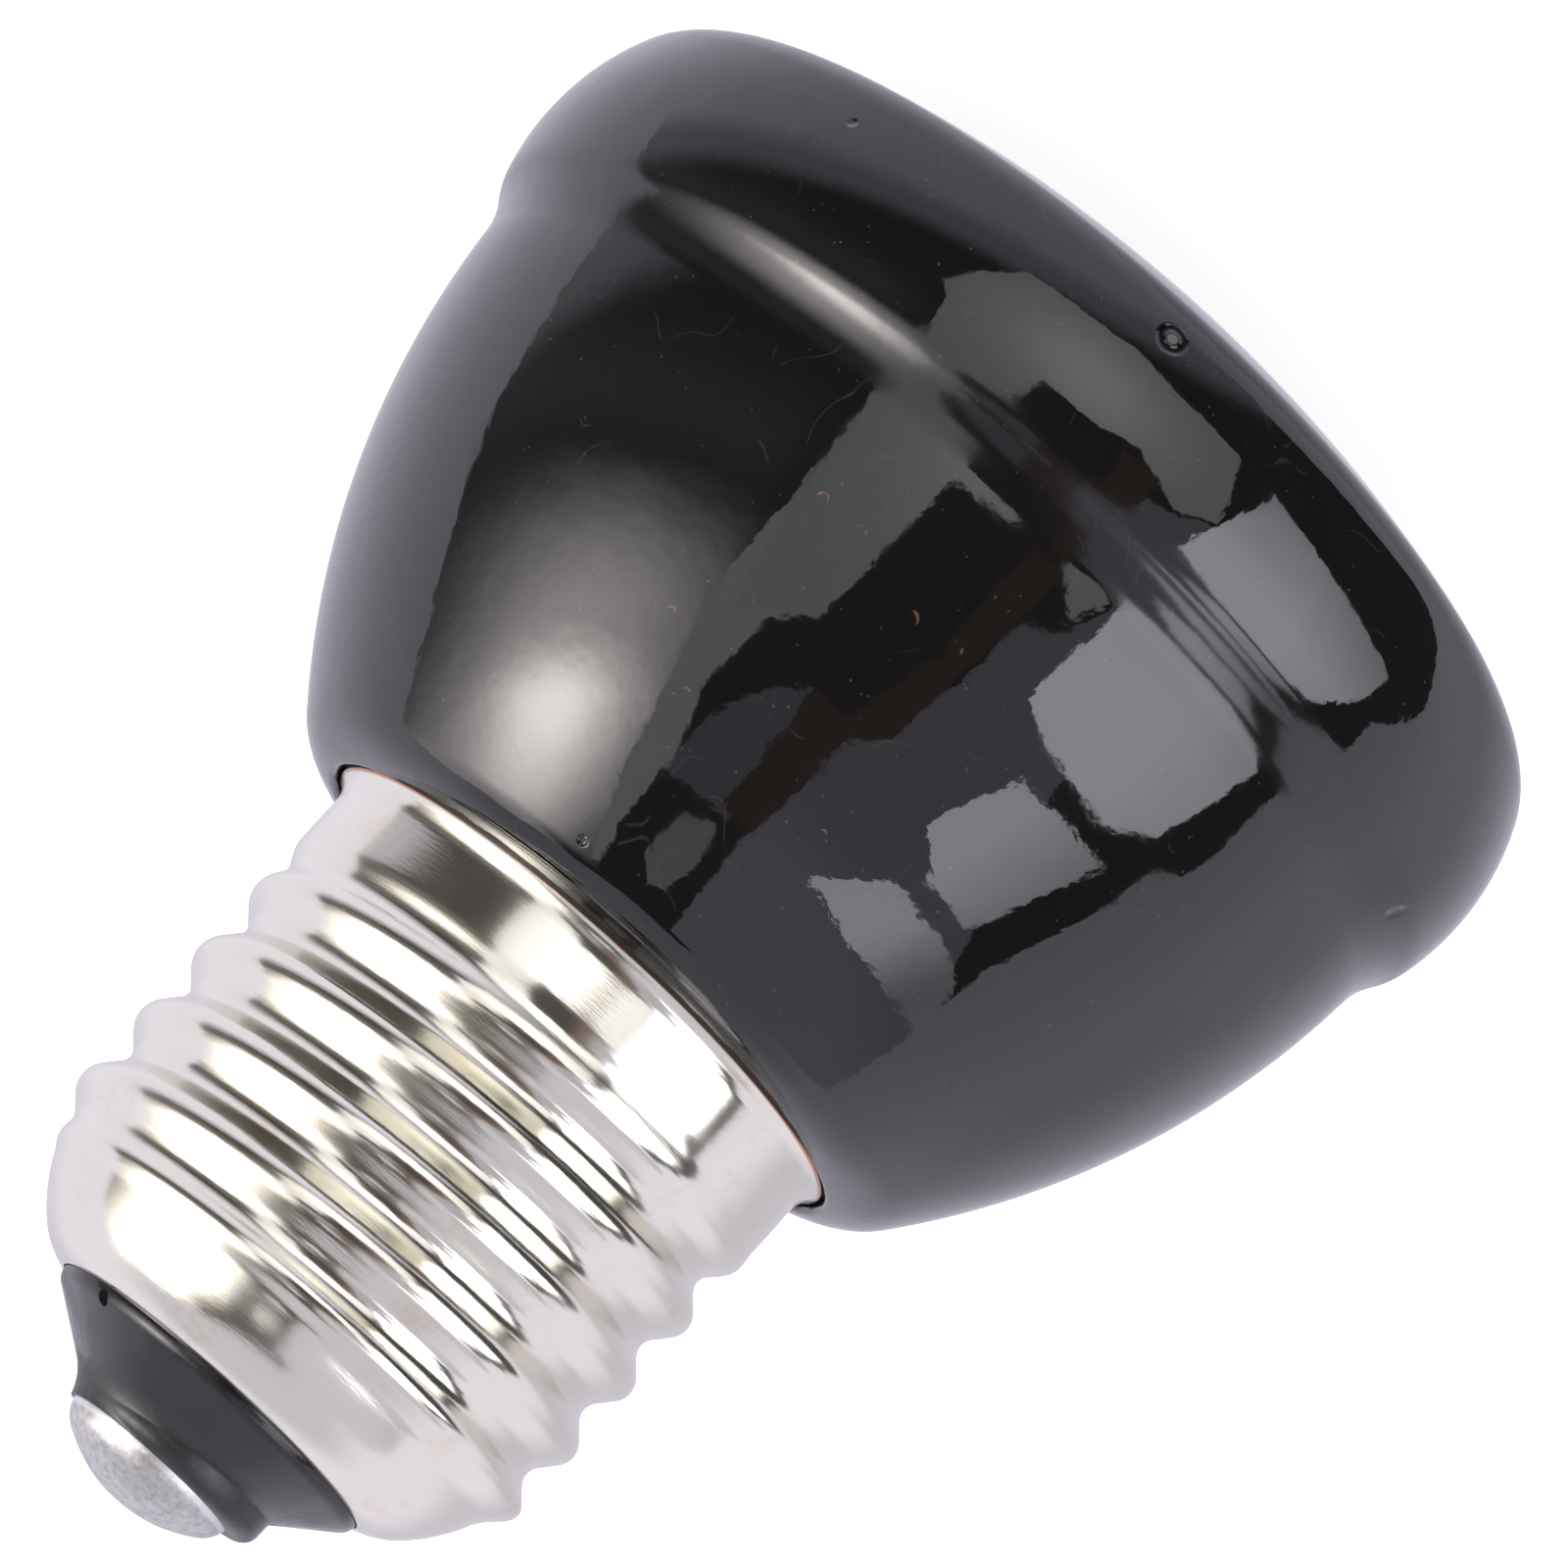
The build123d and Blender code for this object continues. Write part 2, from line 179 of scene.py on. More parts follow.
class InnerSizes(PropertyGroup):
    """What the bell's plug holds inside the cap."""

    lip_gap: length("Lip gap", 0.25, "Below the lip")
    lip_side_gap: length("Lip side gap", 0.2, "Beside the lip")
    cement_gap: length("Cement gap", 0.05, "Between the cement and the sheet")
    cement_thickness: length("Cement", 1.25, "Thickness of the cement sleeve")
    cavity_height: length("Cavity", 4.3, "From the plug to the glass")
    plug_edge_radius: length("Plug edge", 0.6, "Rounding of the plug")
    lead_diameter: length("Lead diameter", 0.8, "Of the two leads")
    lead_gap: length("Lead gap", 0.05, "Round a lead in its hole")
    lead_spacing: length("Lead spacing", 7, "Between the two leads")
    lead_hole_depth: length("Lead holes", 6, "Depth of the holes in the plug")
    lead_solder_cover: length("Solder cover", 1.1, "Solder over the end of the centre lead")
    lead_segments: count("Lead segments", 24, "Faces round a lead's hole")


class FinishSizes(PropertyGroup):
    """Depths and widths of what the finishes draw on the pieces."""

    glaze_ripple: length("Glaze ripple", 0.022, "Depth of the glaze's soft ripple")
    glaze_grain: length("Glaze grain", 0.0014, "Depth of the glaze's fine grain")
    glaze_pit: length("Glaze pits", 0.09, "Depth of the pits and of the burst bubble")
    waist_low: length("Dull waist, low", 12.4, "Where the duller glaze of the waist starts")
    waist_high: length("Dull waist, high", 16, "Where the duller glaze of the waist ends")
    waist_fade: length("Dull waist, fade", 0.8, "Over which the duller glaze fades in and out")
    # Sizes of the painted shadow beside the cap's lip: a dark, dull band, wider at the front
    shadow_front: length("Bare front", 0.8, "How much wider the bare edge is in front")
    shadow_waver: length("Bare waver", 0.3, "How unevenly the bare edge ends")
    shadow_fade: length("Bare fade", 0.2, "Over which the glaze thins out")
    shadow_depth: length("Bare depth", 1.66, "Lowest bare place, from the ring down")
    shadow_rise: length("Bare rise", 0.5, "Over which the bare edge starts")
    plate_grain: length("Plate grain", 0.004, "Depth of the grain in the nickel")
    worn_height: length("Worn height", 0.12, "Height of the worn edge of the lip")
    worn_width: length("Worn width", 0.2, "Width of the worn edge of the lip")
    glass_smear: length("Glass smears", 0.01, "Depth of the smears on the glass")
    dust_reach: length("Dust reach", 5.35, "How far from the axis dust lies on the glass")
    dust_fade: length("Dust fade", 0.25, "Over which the dust thins out")
    solder_grain: length("Solder grain", 0.02, "Depth of the grain in the solder")
    # Height and fade of the painted highlight round the solder's foot
    solder_highlight: length("Solder rim", 0.26, "Height of the solder's bright foot")
    solder_highlight_fade: length("Solder rim fade", 0.1, "Over which the bright foot fades")
    cement_grain: length("Cement grain", 0.05, "Depth of the grain in the cement")


class FinishColours(PropertyGroup):
    """Base colours of the finishes."""

    glaze: colour("Glaze", (0.0035, 0.0035, 0.0037), "Black glaze")
    glaze_fleck: colour("Glaze flecks", (0.05, 0.05, 0.05), "Pale flecks in the glaze")
    # Colour of the painted amber highlights on small specks in the glaze
    speck_highlight: colour("Glaze marks", (0.16, 0.09, 0.05), "Amber specks in the glaze")
    bubble: colour("Bubble", (0.11, 0.115, 0.11), "Pale middle of a burst bubble")
    # Colour of the painted shadow beside the cap's lip
    painted_lip_shadow: colour("Bare edge", (0.02, 0.012, 0.009), "Unglazed ceramic beside the lip")
    nickel: colour("Nickel", (0.75, 0.727, 0.64), "Bright nickel plate")
    nickel_stain: colour("Nickel stain", (0.67, 0.585, 0.455), "Yellowed patches of the plate")
    lip: colour("Lip", (0.42, 0.2, 0.1), "Worn edge of the sheet's lip")
    glass: colour("Glass", (0.008, 0.008, 0.009), "Black glass")
    glass_dust: colour("Glass dust", (0.03, 0.034, 0.036), "Dust on the neck of the glass")
    solder: colour("Solder", (0.61, 0.605, 0.59), "Dull solder")
    solder_dull: colour("Solder, dull", (0.4, 0.395, 0.385), "Duller patches of the solder")
    # Colour of the painted highlight round the solder's foot
    solder_highlight: colour("Solder rim", (0.8, 0.79, 0.78), "Bright foot of the solder")
    brass: colour("Brass", (0.72, 0.55, 0.25), "Contact plate")
    cement: colour("Cement", (0.62, 0.58, 0.5), "Basing cement")
    wire: colour("Wire", (0.6, 0.58, 0.54), "Lead wire")


class StageSizes(PropertyGroup):
    """Camera, floor and the cards of the studio."""

    lens: FloatProperty(name="Lens", description="Focal length in mm", default=168.75)
    sensor: FloatProperty(name="Sensor", description="Width of the sensor in mm", default=36)
    camera_side: length("Camera side", -0.66, "Place along X")
    camera_back: length("Camera back", -307.1, "Place along Y")
    camera_height: length("Camera height", 93.0, "Place along Z")
    camera_dip: turn("Camera dip", 12.5, "How far it looks down")
    camera_roll: turn("Camera roll", -137.93, "Turn about its line of sight")
    floor_side: length("Floor side", 6000, "Width of the floor")
    card_reach: length("Card reach", 640, "Distance of the nearest card")
    card_step: length("Card step", 8, "From one card to the next behind it")
    floor_tone: FloatProperty(name="Floor tone", description="Colour of the floor", default=0.8)
    floor_lift: FloatProperty(
        name="Floor lift", description="Light that the camera sees on all of it", default=0.89
    )
    soft_light: FloatProperty(
        name="Soft light", description="Strength of the light on all sides", default=0.95
    )


def settings(name):
    """One of the scene's groups of sizes."""
    return getattr(bpy.context.scene, "heat_emitter_" + name)


def on_circle(centre, radius, angle):
    """The point of a circle in the XZ plane, at an angle up from the outward direction."""
    return centre + Vector((cos(angle), 0, sin(angle))) * radius


def toward(start, goal, reach):
    """The point that lies reach from start on the way to goal."""
    return start + (goal - start).normalized() * reach


def crossing(first, first_reach, second, second_reach, side):
    """The point at two given distances from two centres, on one side of their line."""
    gap = second - first
    along = (gap.length**2 + first_reach**2 - second_reach**2) / (2 * gap.length)
    away = sqrt(first_reach**2 - along**2)
    direction = gap.normalized()
    square = Vector((-direction.z, 0, direction.x))
    return first + direction * along + square * (side * away)


def straight(start, end, rows):
    """Points from start towards end, without the end."""
    return [start.lerp(end, i / rows) for i in range(rows)]


def arc(centre, start, end, rows):
    """Points the short way round a circle from start towards end, without the end."""
    first = atan2(start.z - centre.z, start.x - centre.x)
    sweep = atan2(end.z - centre.z, end.x - centre.x) - first
    sweep = (sweep + pi) % (2 * pi) - pi
    radius = (start - centre).length
    return [on_circle(centre, radius, first + sweep * i / rows) for i in range(rows)]


def eased(value):
    """A smooth step from 0 to 1."""
    value = min(max(value, 0), 1)
    return value * value * (3 - 2 * value)


def spun(outline, segments, closed=False):
    """A bmesh of an outline in the XZ plane, spun once round the Z axis."""
    mesh = bmesh.new()
    points = [mesh.verts.new(point) for point in outline]
    pairs = list(zip(points, points[1:]))
    if closed:
        pairs.append((points[-1], points[0]))
    edges = [mesh.edges.new(pair) for pair in pairs]
    bmesh.ops.spin(
        mesh,
        geom=points + edges,
        cent=(0, 0, 0),
        axis=(0, 0, 1),
        dvec=(0, 0, 0),
        angle=2 * pi,
        space=Matrix.Identity(4),
        steps=segments,
        use_merge=True,
        use_normal_flip=False,
        use_duplicate=False,
    )
    bmesh.ops.remove_doubles(mesh, verts=mesh.verts, dist=SAME_PLACE)
    return mesh


def new_object(mesh, name, material):
    """Turns a bmesh into an object of the scene."""
    data = bpy.data.meshes.new(name)
    mesh.to_mesh(data)
    mesh.free()
    data.materials.append(material)
    made = bpy.data.objects.new(name, data)
    bpy.context.scene.collection.objects.link(made)
    return made


def finished_piece(mesh, name, node, material):
    """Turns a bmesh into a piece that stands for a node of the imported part."""
    bmesh.ops.recalc_face_normals(mesh, faces=mesh.faces)
    for face in mesh.faces:
        face.smooth = True
    piece = new_object(mesh, name, material)
    piece.data.set_sharp_from_angle(angle=radians(SHARP_EDGE))
    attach(piece, "root")
    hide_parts(node)


class CapShape:
    """The places that the cap's sizes lead to, shared by the bell, the sheet and the glass."""

    def __init__(self):
        bell = settings("bell")
        cap = settings("cap")
        inner = settings("inner")
        self.cap = cap
        self.lip_level = bell.height - cap.lip_sink
        self.crest = cap.crest_diameter / 2
        self.root = self.crest - cap.thread_depth
        self.mean = self.crest - cap.thread_depth / 2
        self.skirt = self.crest - cap.skirt_inset
        self.lip = self.skirt + cap.lip_flare_width
        self.flare_turn = acos(1 - cap.lip_flare_width / cap.lip_flare_radius)
        self.lip_drop = cap.sheet_thickness * sin(self.flare_turn)
        self.flare_height = cap.lip_flare_radius * sin(self.flare_turn)
        self.flare_centre = self.above_lip(self.skirt + cap.lip_flare_radius, self.flare_height)
        arc_gap = cap.shoulder_radius - cap.edge_radius
        shoulder_drop = arc_gap * sin(cap.shoulder_turn)
        self.shoulder_centre = self.above_lip(
            self.mean - cap.shoulder_radius, cap.shell_height - cap.edge_radius - shoulder_drop
        )
        self.edge_centre = on_circle(self.shoulder_centre, arc_gap, cap.shoulder_turn)
        thread_end = on_circle(self.shoulder_centre, cap.shoulder_radius, cap.thread_end_turn)
        self.thread_end = thread_end.z - self.lip_level
        self.glass_floor = self.thread_end + settings("insulator").floor_step
        self.plug_height = self.glass_floor - inner.cavity_height
        self.plug = self.root - cap.sheet_thickness - inner.cement_gap - inner.cement_thickness
        self.tip = cap.shell_height + settings("contact").tip_height
        self.contact_seat = self.tip - settings("contact").dome_height

    def above_lip(self, radius, height):
        """A point of the cap's section, its height from the plane of the lip."""
        return Vector((radius, 0, self.lip_level + height))

    def blank(self, height):
        """The outer radius of the sheet before its thread is rolled."""
        rise = max(self.lip_level + height - self.shoulder_centre.z, 0)
        return self.shoulder_centre.x + sqrt(self.cap.shoulder_radius**2 - rise**2)

    def thread(self, from_crest):
        """The full thread's radius beside its crest line: arcs and straight flanks."""
        flank = self.cap.flank_angle
        half = self.cap.pitch / 2
        spare = half * tan(flank) - self.cap.thread_depth
        bend = spare / (2 * sin(flank) * tan(flank) - 2 * (1 - cos(flank)))
        away = abs((from_crest + half) % self.cap.pitch - half)
        if away < bend * sin(flank):
            return self.crest - bend + sqrt(bend**2 - away**2)
        if half - away < bend * sin(flank):
            return self.root + bend - sqrt(bend**2 - (half - away) ** 2)
        return self.mean + (half / 2 - away) * tan(flank)

    def rolled(self, height, angle):
        """The sheet's outer radius with the thread, which fades at both ends."""
        cap = self.cap
        crest = cap.thread_start + cap.pitch * angle / (2 * pi)
        full = eased((self.thread_end - height) / cap.thread_run_out)
        plain = eased((cap.skirt_height + cap.thread_fade - height) / cap.thread_fade)
        radius = self.blank(height) * (1 - full) + self.thread(height - crest) * full
        return radius * (1 - plain) + self.skirt * plain


def bell_outline(bell, inner, shape):
    """The bell's section from the centre of its face to the edge of the plug's top."""
    flat = Vector((bell.face_flat_diameter / 2, 0, 0))
    face_centre = Vector((0, 0, sqrt(bell.face_dome_radius**2 - flat.x**2)))
    rim_centre = Vector((bell.rim_diameter / 2 - bell.rim_bulge_radius, 0, bell.rim_height))
    seat = shape.lip + inner.lip_side_gap
    seat_floor = shape.lip_level - shape.lip_drop - inner.lip_gap
    neck = Vector((seat - bell.neck_ring_inset, 0, bell.height - bell.neck_corner_radius))
    side_reach = bell.rim_diameter / 2 - bell.side_inset
    side_run = side_reach - neck.x
    side_rise = neck.z - bell.side_height
    side_radius = (side_run**2 + side_rise**2 - bell.neck_corner_radius**2) / (
        2 * (side_run - bell.neck_corner_radius)
    )
    side_centre = Vector((side_reach - side_radius, 0, bell.side_height))
    corner = crossing(
        face_centre,
        bell.face_dome_radius - bell.face_corner_radius,
        rim_centre,
        bell.rim_bulge_radius - bell.face_corner_radius,
        1,
    )
    rim_shoulder = on_circle(
        rim_centre, bell.rim_bulge_radius - bell.rim_shoulder_radius, bell.rim_shoulder_turn
    )
    waist = crossing(
        rim_shoulder,
        bell.rim_shoulder_radius + bell.waist_fillet_radius,
        side_centre,
        side_radius + bell.waist_fillet_radius,
        -1,
    )
    edge_run = bell.neck_ring_inset + bell.seat_edge_radius
    edge_reach = bell.neck_corner_radius - bell.seat_edge_radius
    edge = neck + Vector((edge_run, 0, sqrt(edge_reach**2 - edge_run**2)))
    face_end = toward(face_centre, corner, bell.face_dome_radius)
    corner_end = toward(rim_centre, corner, bell.rim_bulge_radius)
    bulge_end = on_circle(rim_centre, bell.rim_bulge_radius, bell.rim_shoulder_turn)
    rim_end = toward(rim_shoulder, waist, bell.rim_shoulder_radius)
    side_start = toward(side_centre, waist, side_radius)
    side_end = toward(side_centre, neck, side_radius)
    ring_top = toward(neck, edge, bell.neck_corner_radius)
    seat_top = Vector((seat, 0, edge.z))
    seat_out = Vector((seat, 0, seat_floor))
    seat_in = Vector((shape.plug, 0, seat_floor))
    plug_edge = shape.above_lip(
        shape.plug - inner.plug_edge_radius, shape.plug_height - inner.plug_edge_radius
    )
    plug_side = on_circle(plug_edge, inner.plug_edge_radius, 0)
    plug_face = on_circle(plug_edge, inner.plug_edge_radius, pi / 2)
    return (
        straight(Vector((0, 0, 0)), flat, 4)
        + arc(face_centre, flat, face_end, 26)
        + arc(corner, face_end, corner_end, 14)
        + arc(rim_centre, corner_end, bulge_end, 62)
        + arc(rim_shoulder, bulge_end, rim_end, 30)
        + arc(waist, rim_end, side_start, 26)
        + arc(side_centre, side_start, side_end, 92)
        + arc(neck, side_end, ring_top, 30)
        + arc(edge, ring_top, seat_top, 8)
        + straight(seat_top, seat_out, 3)
        + straight(seat_out, seat_in, 3)
        + straight(seat_in, plug_side, 6)
        + arc(plug_edge, plug_side, plug_face, 6)
        + [plug_face]
    )


def cut_plug_top(mesh, inner, shape):
    """Closes the plug's top with a face that has the two lead holes in it."""
    top = shape.above_lip(0, shape.plug_height).z
    rim = [edge for edge in mesh.edges if edge.is_boundary]
    loops = list(rim)
    for side in (1, -1):
        place = Matrix.Translation((side * inner.lead_spacing / 2, 0, top))
        ring = bmesh.ops.create_circle(
            mesh,
            cap_ends=False,
            radius=inner.lead_diameter / 2 + inner.lead_gap,
            segments=inner.lead_segments,
            matrix=place,
        )["verts"]
        mouth = list({edge for vert in ring for edge in vert.link_edges})
        loops += mouth
        drawn = bmesh.ops.extrude_edge_only(mesh, edges=mouth)["geom"]
        low = [item for item in drawn if isinstance(item, bmesh.types.BMVert)]
        bmesh.ops.translate(mesh, verts=low, vec=(0, 0, -inner.lead_hole_depth))
        floor = [
            item
            for item in drawn
            if isinstance(item, bmesh.types.BMEdge) and all(vert in low for vert in item.verts)
        ]
        bmesh.ops.contextual_create(mesh, geom=floor)
    bmesh.ops.triangle_fill(mesh, edges=loops, use_beauty=True)


class HEATEMITTER_OT_bell(Operator):
    """Model the glazed bell"""

    bl_idname = "heat_emitter.bell"
    bl_label = "Bell"

    def execute(self, context):
        bell = settings("bell")
        inner = settings("inner")
        shape = CapShape()
        mesh = spun(bell_outline(bell, inner, shape), bell.segments)
        cut_plug_top(mesh, inner, shape)
        bmesh.ops.recalc_face_normals(mesh, faces=mesh.faces)
        mesh.normal_update()
        for vert in mesh.verts:
            outside = eased((hypot(vert.co.x, vert.co.y) - shape.lip) / bell.ripple_fade)
            shown = outside * eased(vert.co.z / bell.ripple_fade)
            swell = noise.noise(vert.co / bell.ripple_length)
            vert.co += vert.normal * (bell.ripple * shown * (swell - 1) / 2)
        finished_piece(mesh, "glazed_bell", "ceramic_body", glaze_material())
        return {"FINISHED"}


class HEATEMITTER_OT_screw_shell(Operator):
    """Model the rolled sheet of the screw cap"""

    bl_idname = "heat_emitter.screw_shell"
    bl_label = "Screw Shell"

    def execute(self, context):
        cap = settings("cap")
        shape = CapShape()
        blank_start = shape.above_lip(0, shape.thread_end)
        rows = []
        for centre, radius, first, last in (
            (shape.edge_centre, cap.edge_radius, cap.edge_turn, cap.shoulder_turn),
            (shape.shoulder_centre, cap.shoulder_radius, cap.shoulder_turn, cap.thread_end_turn),
        ):
            for i in range(cap.bend_rows):
                facing = first + (last - first) * i / cap.bend_rows
                rows.append((on_circle(centre, radius, facing), facing))
        for i in range(cap.thread_rows):
            height = shape.thread_end + (cap.skirt_height - shape.thread_end) * i / cap.thread_rows
            rows.append((shape.above_lip(shape.mean, height), 0))
        for point in straight(
            shape.above_lip(shape.skirt, cap.skirt_height),
            shape.above_lip(shape.skirt, shape.flare_height),
            6,
        ):
            rows.append((point, 0))
        for i in range(cap.flare_rows + 1):
            facing = shape.flare_turn * i / cap.flare_rows
            rows.append((on_circle(shape.flare_centre, cap.lip_flare_radius, pi + facing), facing))
        outer = [point for point, facing in rows]
        inner = [on_circle(point, -cap.sheet_thickness, facing) for point, facing in rows]
        mesh = spun(outer + inner[::-1], cap.segments, closed=True)
        low = shape.above_lip(0, cap.skirt_height).z
        for vert in mesh.verts:
            if not low + cap.slope_reach < vert.co.z <= blank_start.z + cap.slope_reach:
                continue
            height = vert.co.z - shape.lip_level
            depth = shape.mean - hypot(vert.co.x, vert.co.y)
            if not -cap.slope_reach < depth < cap.sheet_thickness + cap.slope_reach:
                continue
            angle = atan2(vert.co.y, vert.co.x) % (2 * pi)
            below = shape.rolled(height - cap.slope_reach, angle)
            above = shape.rolled(height + cap.slope_reach, angle)
            facing = atan2(below - above, 2 * cap.slope_reach)
            radius = shape.rolled(height, angle) - depth * cos(facing)
            vert.co.x = radius * cos(angle)
            vert.co.y = radius * sin(angle)
            vert.co.z -= depth * sin(facing)
        finished_piece(mesh, "rolled_shell", "screw_shell", nickel_material())
        return {"FINISHED"}


class HEATEMITTER_OT_insulator(Operator):
    """Model the black glass in the cap's mouth"""

    bl_idname = "heat_emitter.insulator"
    bl_label = "Insulator"

    def execute(self, context):
        cap = settings("cap")
        glass = settings("insulator")
        shape = CapShape()
        inset = cap.sheet_thickness + glass.gap
        bore = settings("contact").stem_diameter / 2 + glass.gap
        floor_rise = shape.above_lip(0, shape.glass_floor).z - shape.shoulder_centre.z
        floor_turn = asin(floor_rise / (cap.shoulder_radius - inset))
        floor_out = on_circle(shape.shoulder_centre, cap.shoulder_radius - inset, floor_turn)
        inside_bend = on_circle(shape.edge_centre, cap.edge_radius - inset, cap.shoulder_turn)
        inside_throat = on_circle(shape.edge_centre, cap.edge_radius - inset, cap.edge_turn)
        outside_throat = on_circle(shape.edge_centre, cap.edge_radius, cap.edge_turn)
        cone_start = Vector((inside_throat.x, 0, outside_throat.z))
        corner = cone_start - Vector((glass.corner_radius, 0, 0))
        cone_top = on_circle(corner, glass.corner_radius, glass.cone_angle)
        neck = glass.neck_diameter / 2
        cone_run = cone_top.x - neck - glass.neck_fillet * (1 - cos(glass.cone_angle))
        cone_end = cone_top + Vector((-cone_run, 0, cone_run / tan(glass.cone_angle)))
        neck_centre = on_circle(cone_end, glass.neck_fillet, glass.cone_angle)
        neck_rise = neck_centre.z - shape.above_lip(0, shape.contact_seat).z
        neck_run = sqrt(glass.neck_fillet**2 - neck_rise**2)
        neck_top = neck_centre - Vector((neck_run, 0, neck_rise))
        outline = (
            straight(shape.above_lip(bore, shape.glass_floor), floor_out, 6)
            + arc(shape.shoulder_centre, floor_out, inside_bend, 10)
            + arc(shape.edge_centre, inside_bend, inside_throat, 10)
            + straight(inside_throat, cone_start, 2)
            + arc(corner, cone_start, cone_top, 10)
            + straight(cone_top, cone_end, 44)
            + arc(neck_centre, cone_end, neck_top, 50)
            + straight(neck_top, shape.above_lip(bore, shape.contact_seat), 8)
            + straight(
                shape.above_lip(bore, shape.contact_seat), shape.above_lip(bore, shape.glass_floor), 4
            )
        )
        mesh = spun(outline, glass.segments, closed=True)
        for vert in mesh.verts:
            radius = hypot(vert.co.x, vert.co.y)
            if vert.co.z > cone_start.z and radius > bore + glass.gap:
                grown = self.with_boss(glass, shape, vert.co, radius, neck_top.x)
                vert.co.x *= grown / radius
                vert.co.y *= grown / radius
        finished_piece(mesh, "glass_insulator", "base_insulator", glass_material())
        return {"FINISHED"}

    def with_boss(self, glass, shape, point, radius, neck):
        """The glass's radius at a point, where the lump round the neck stands out of it."""
        top = shape.above_lip(0, shape.contact_seat).z
        below = top - point.z
        if below > glass.boss_depth:
            return radius
        edge = glass.boss_edge_radius
        drop = max(edge - below, 0)
        reach = glass.boss_diameter / 2 - edge + sqrt(edge**2 - min(drop, edge) ** 2)
        angle = atan2(point.y, point.x)
        side = glass.boss_offset * sin(angle)
        lump = -glass.boss_offset * cos(angle) + sqrt(reach**2 - side**2)
        if below < glass.boss_blend / 10:
            return radius * max(lump, neck) / neck
        blend = glass.boss_blend * eased((glass.boss_depth - below) / glass.boss_blend)
        return (lump + radius + sqrt((lump - radius) ** 2 + blend**2 / 4)) / 2


class HEATEMITTER_OT_contact(Operator):
    """Model the dome of solder at the tip"""

    bl_idname = "heat_emitter.contact"
    bl_label = "Contact"

    def execute(self, context):
        contact = settings("contact")
        inner = settings("inner")
        shape = CapShape()
        apex = shape.above_lip(0, shape.tip)
        dome_centre = shape.above_lip(0, shape.tip - contact.dome_radius)
        edge_run = contact.dome_diameter / 2 - contact.dome_edge_radius
        edge_rise = sqrt((contact.dome_radius - contact.dome_edge_radius) ** 2 - edge_run**2)
        edge_round = dome_centre + Vector((edge_run, 0, edge_rise))
        seat = shape.above_lip(0, shape.contact_seat).z
        drop = edge_round.z - seat
        foot = edge_round + Vector((sqrt(contact.dome_edge_radius**2 - drop**2), 0, -drop))
        dome_end = toward(dome_centre, edge_round, contact.dome_radius)
        plate = contact.plate_diameter / 2 + contact.plate_gap
        plate_top = seat + contact.plate_thickness + contact.plate_gap
        lead = inner.lead_diameter / 2 + contact.plate_gap
        lead_end = shape.above_lip(0, shape.tip - inner.lead_solder_cover + contact.plate_gap)
        outline = (
            arc(dome_centre, apex, dome_end, 44)
            + arc(edge_round, dome_end, foot, 30)
            + straight(foot, Vector((plate, 0, seat)), 2)
            + straight(Vector((plate, 0, seat)), Vector((plate, 0, plate_top)), 2)
            + straight(Vector((plate, 0, plate_top)), Vector((lead, 0, plate_top)), 8)
            + straight(Vector((lead, 0, plate_top)), Vector((lead, 0, lead_end.z)), 3)
            + [Vector((lead, 0, lead_end.z)), lead_end]
        )
        mesh = spun(outline, contact.segments)
        for vert in mesh.verts:
            above = (vert.co - dome_centre).length
            if above > contact.dome_radius - contact.dome_edge_radius and vert.co.z > seat:
                swell = noise.noise(vert.co / contact.lump_length) - 1
                low = eased((vert.co.z - seat) / contact.plate_thickness)
                vert.co.z += contact.lump_height * swell * low
        finished_piece(mesh, "solder_dome", "contact_solder", solder_material())
        return {"FINISHED"}


class HEATEMITTER_OT_inner_finishes(Operator):
    """Give the closed-in pieces their finishes"""

    bl_idname = "heat_emitter.inner_finishes"
    bl_label = "Inner Finishes"

    def execute(self, context):
        wire = metal_material("lead_wire", settings("colours").wire, 0.35)
        finishes = {
            "contact_plate": metal_material("plate_brass", settings("colours").brass, 0.3),
            "neck_cement": cement_material(),
            "centre_lead": wire,
            "side_lead": wire,
        }
        for node, material in finishes.items():
            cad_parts[node].material_slots[0].material = material
        return {"FINISHED"}


def put(tree, socket, value):
    """Links another node's output to a socket, or sets the socket to a plain value."""
    if isinstance(value, bpy.types.NodeSocket):
        tree.links.new(value, socket)
    else:
        socket.default_value = value


def fill(tree, node, **inputs):
    """Puts values into a node's inputs, whose names are written with underscores."""
    for name, value in inputs.items():
        put(tree, node.inputs[name.replace("_", " ")], value)


def add_node(tree, kind, changes=None, **inputs):
    """A node with its settings and its inputs, which are values or other nodes' outputs."""
    made = tree.nodes.new(kind)
    for name, value in (changes or {}).items():
        setattr(made, name, value)
    fill(tree, made, **inputs)
    return made


def calculate(tree, operation, first, second=0.0):
    """The output of a math node."""
    made = add_node(tree, "ShaderNodeMath", {"operation": operation})
    for socket, value in zip(made.inputs, (first, second)):
        put(tree, socket, value)
    return made.outputs[0]


def times(tree, first, second):
    """The product of two values."""
    return calculate(tree, "MULTIPLY", first, second)


def plus(tree, first, second):
    """The sum of two values."""
    return calculate(tree, "ADD", first, second)


def remap(tree, value, low, high, start=0.0, end=1.0):
    """The output of a smooth map from one range to another."""
    made = add_node(
        tree,
        "ShaderNodeMapRange",
        {"interpolation_type": "SMOOTHSTEP"},
        Value=value,
        From_Min=low,
        From_Max=high,
        To_Min=start,
        To_Max=end,
    )
    return made.outputs["Result"]


def mix_colours(tree, factor, first, second):
    """The output of a mix of two colours."""
    made = add_node(tree, "ShaderNodeMix", {"data_type": "RGBA"})
    for place, value in ((0, factor), (6, first), (7, second)):
        put(tree, made.inputs[place], value)
    return made.outputs[2]


def opaque(colour_value):
    """A colour with full alpha."""
    return (*colour_value, 1.0)


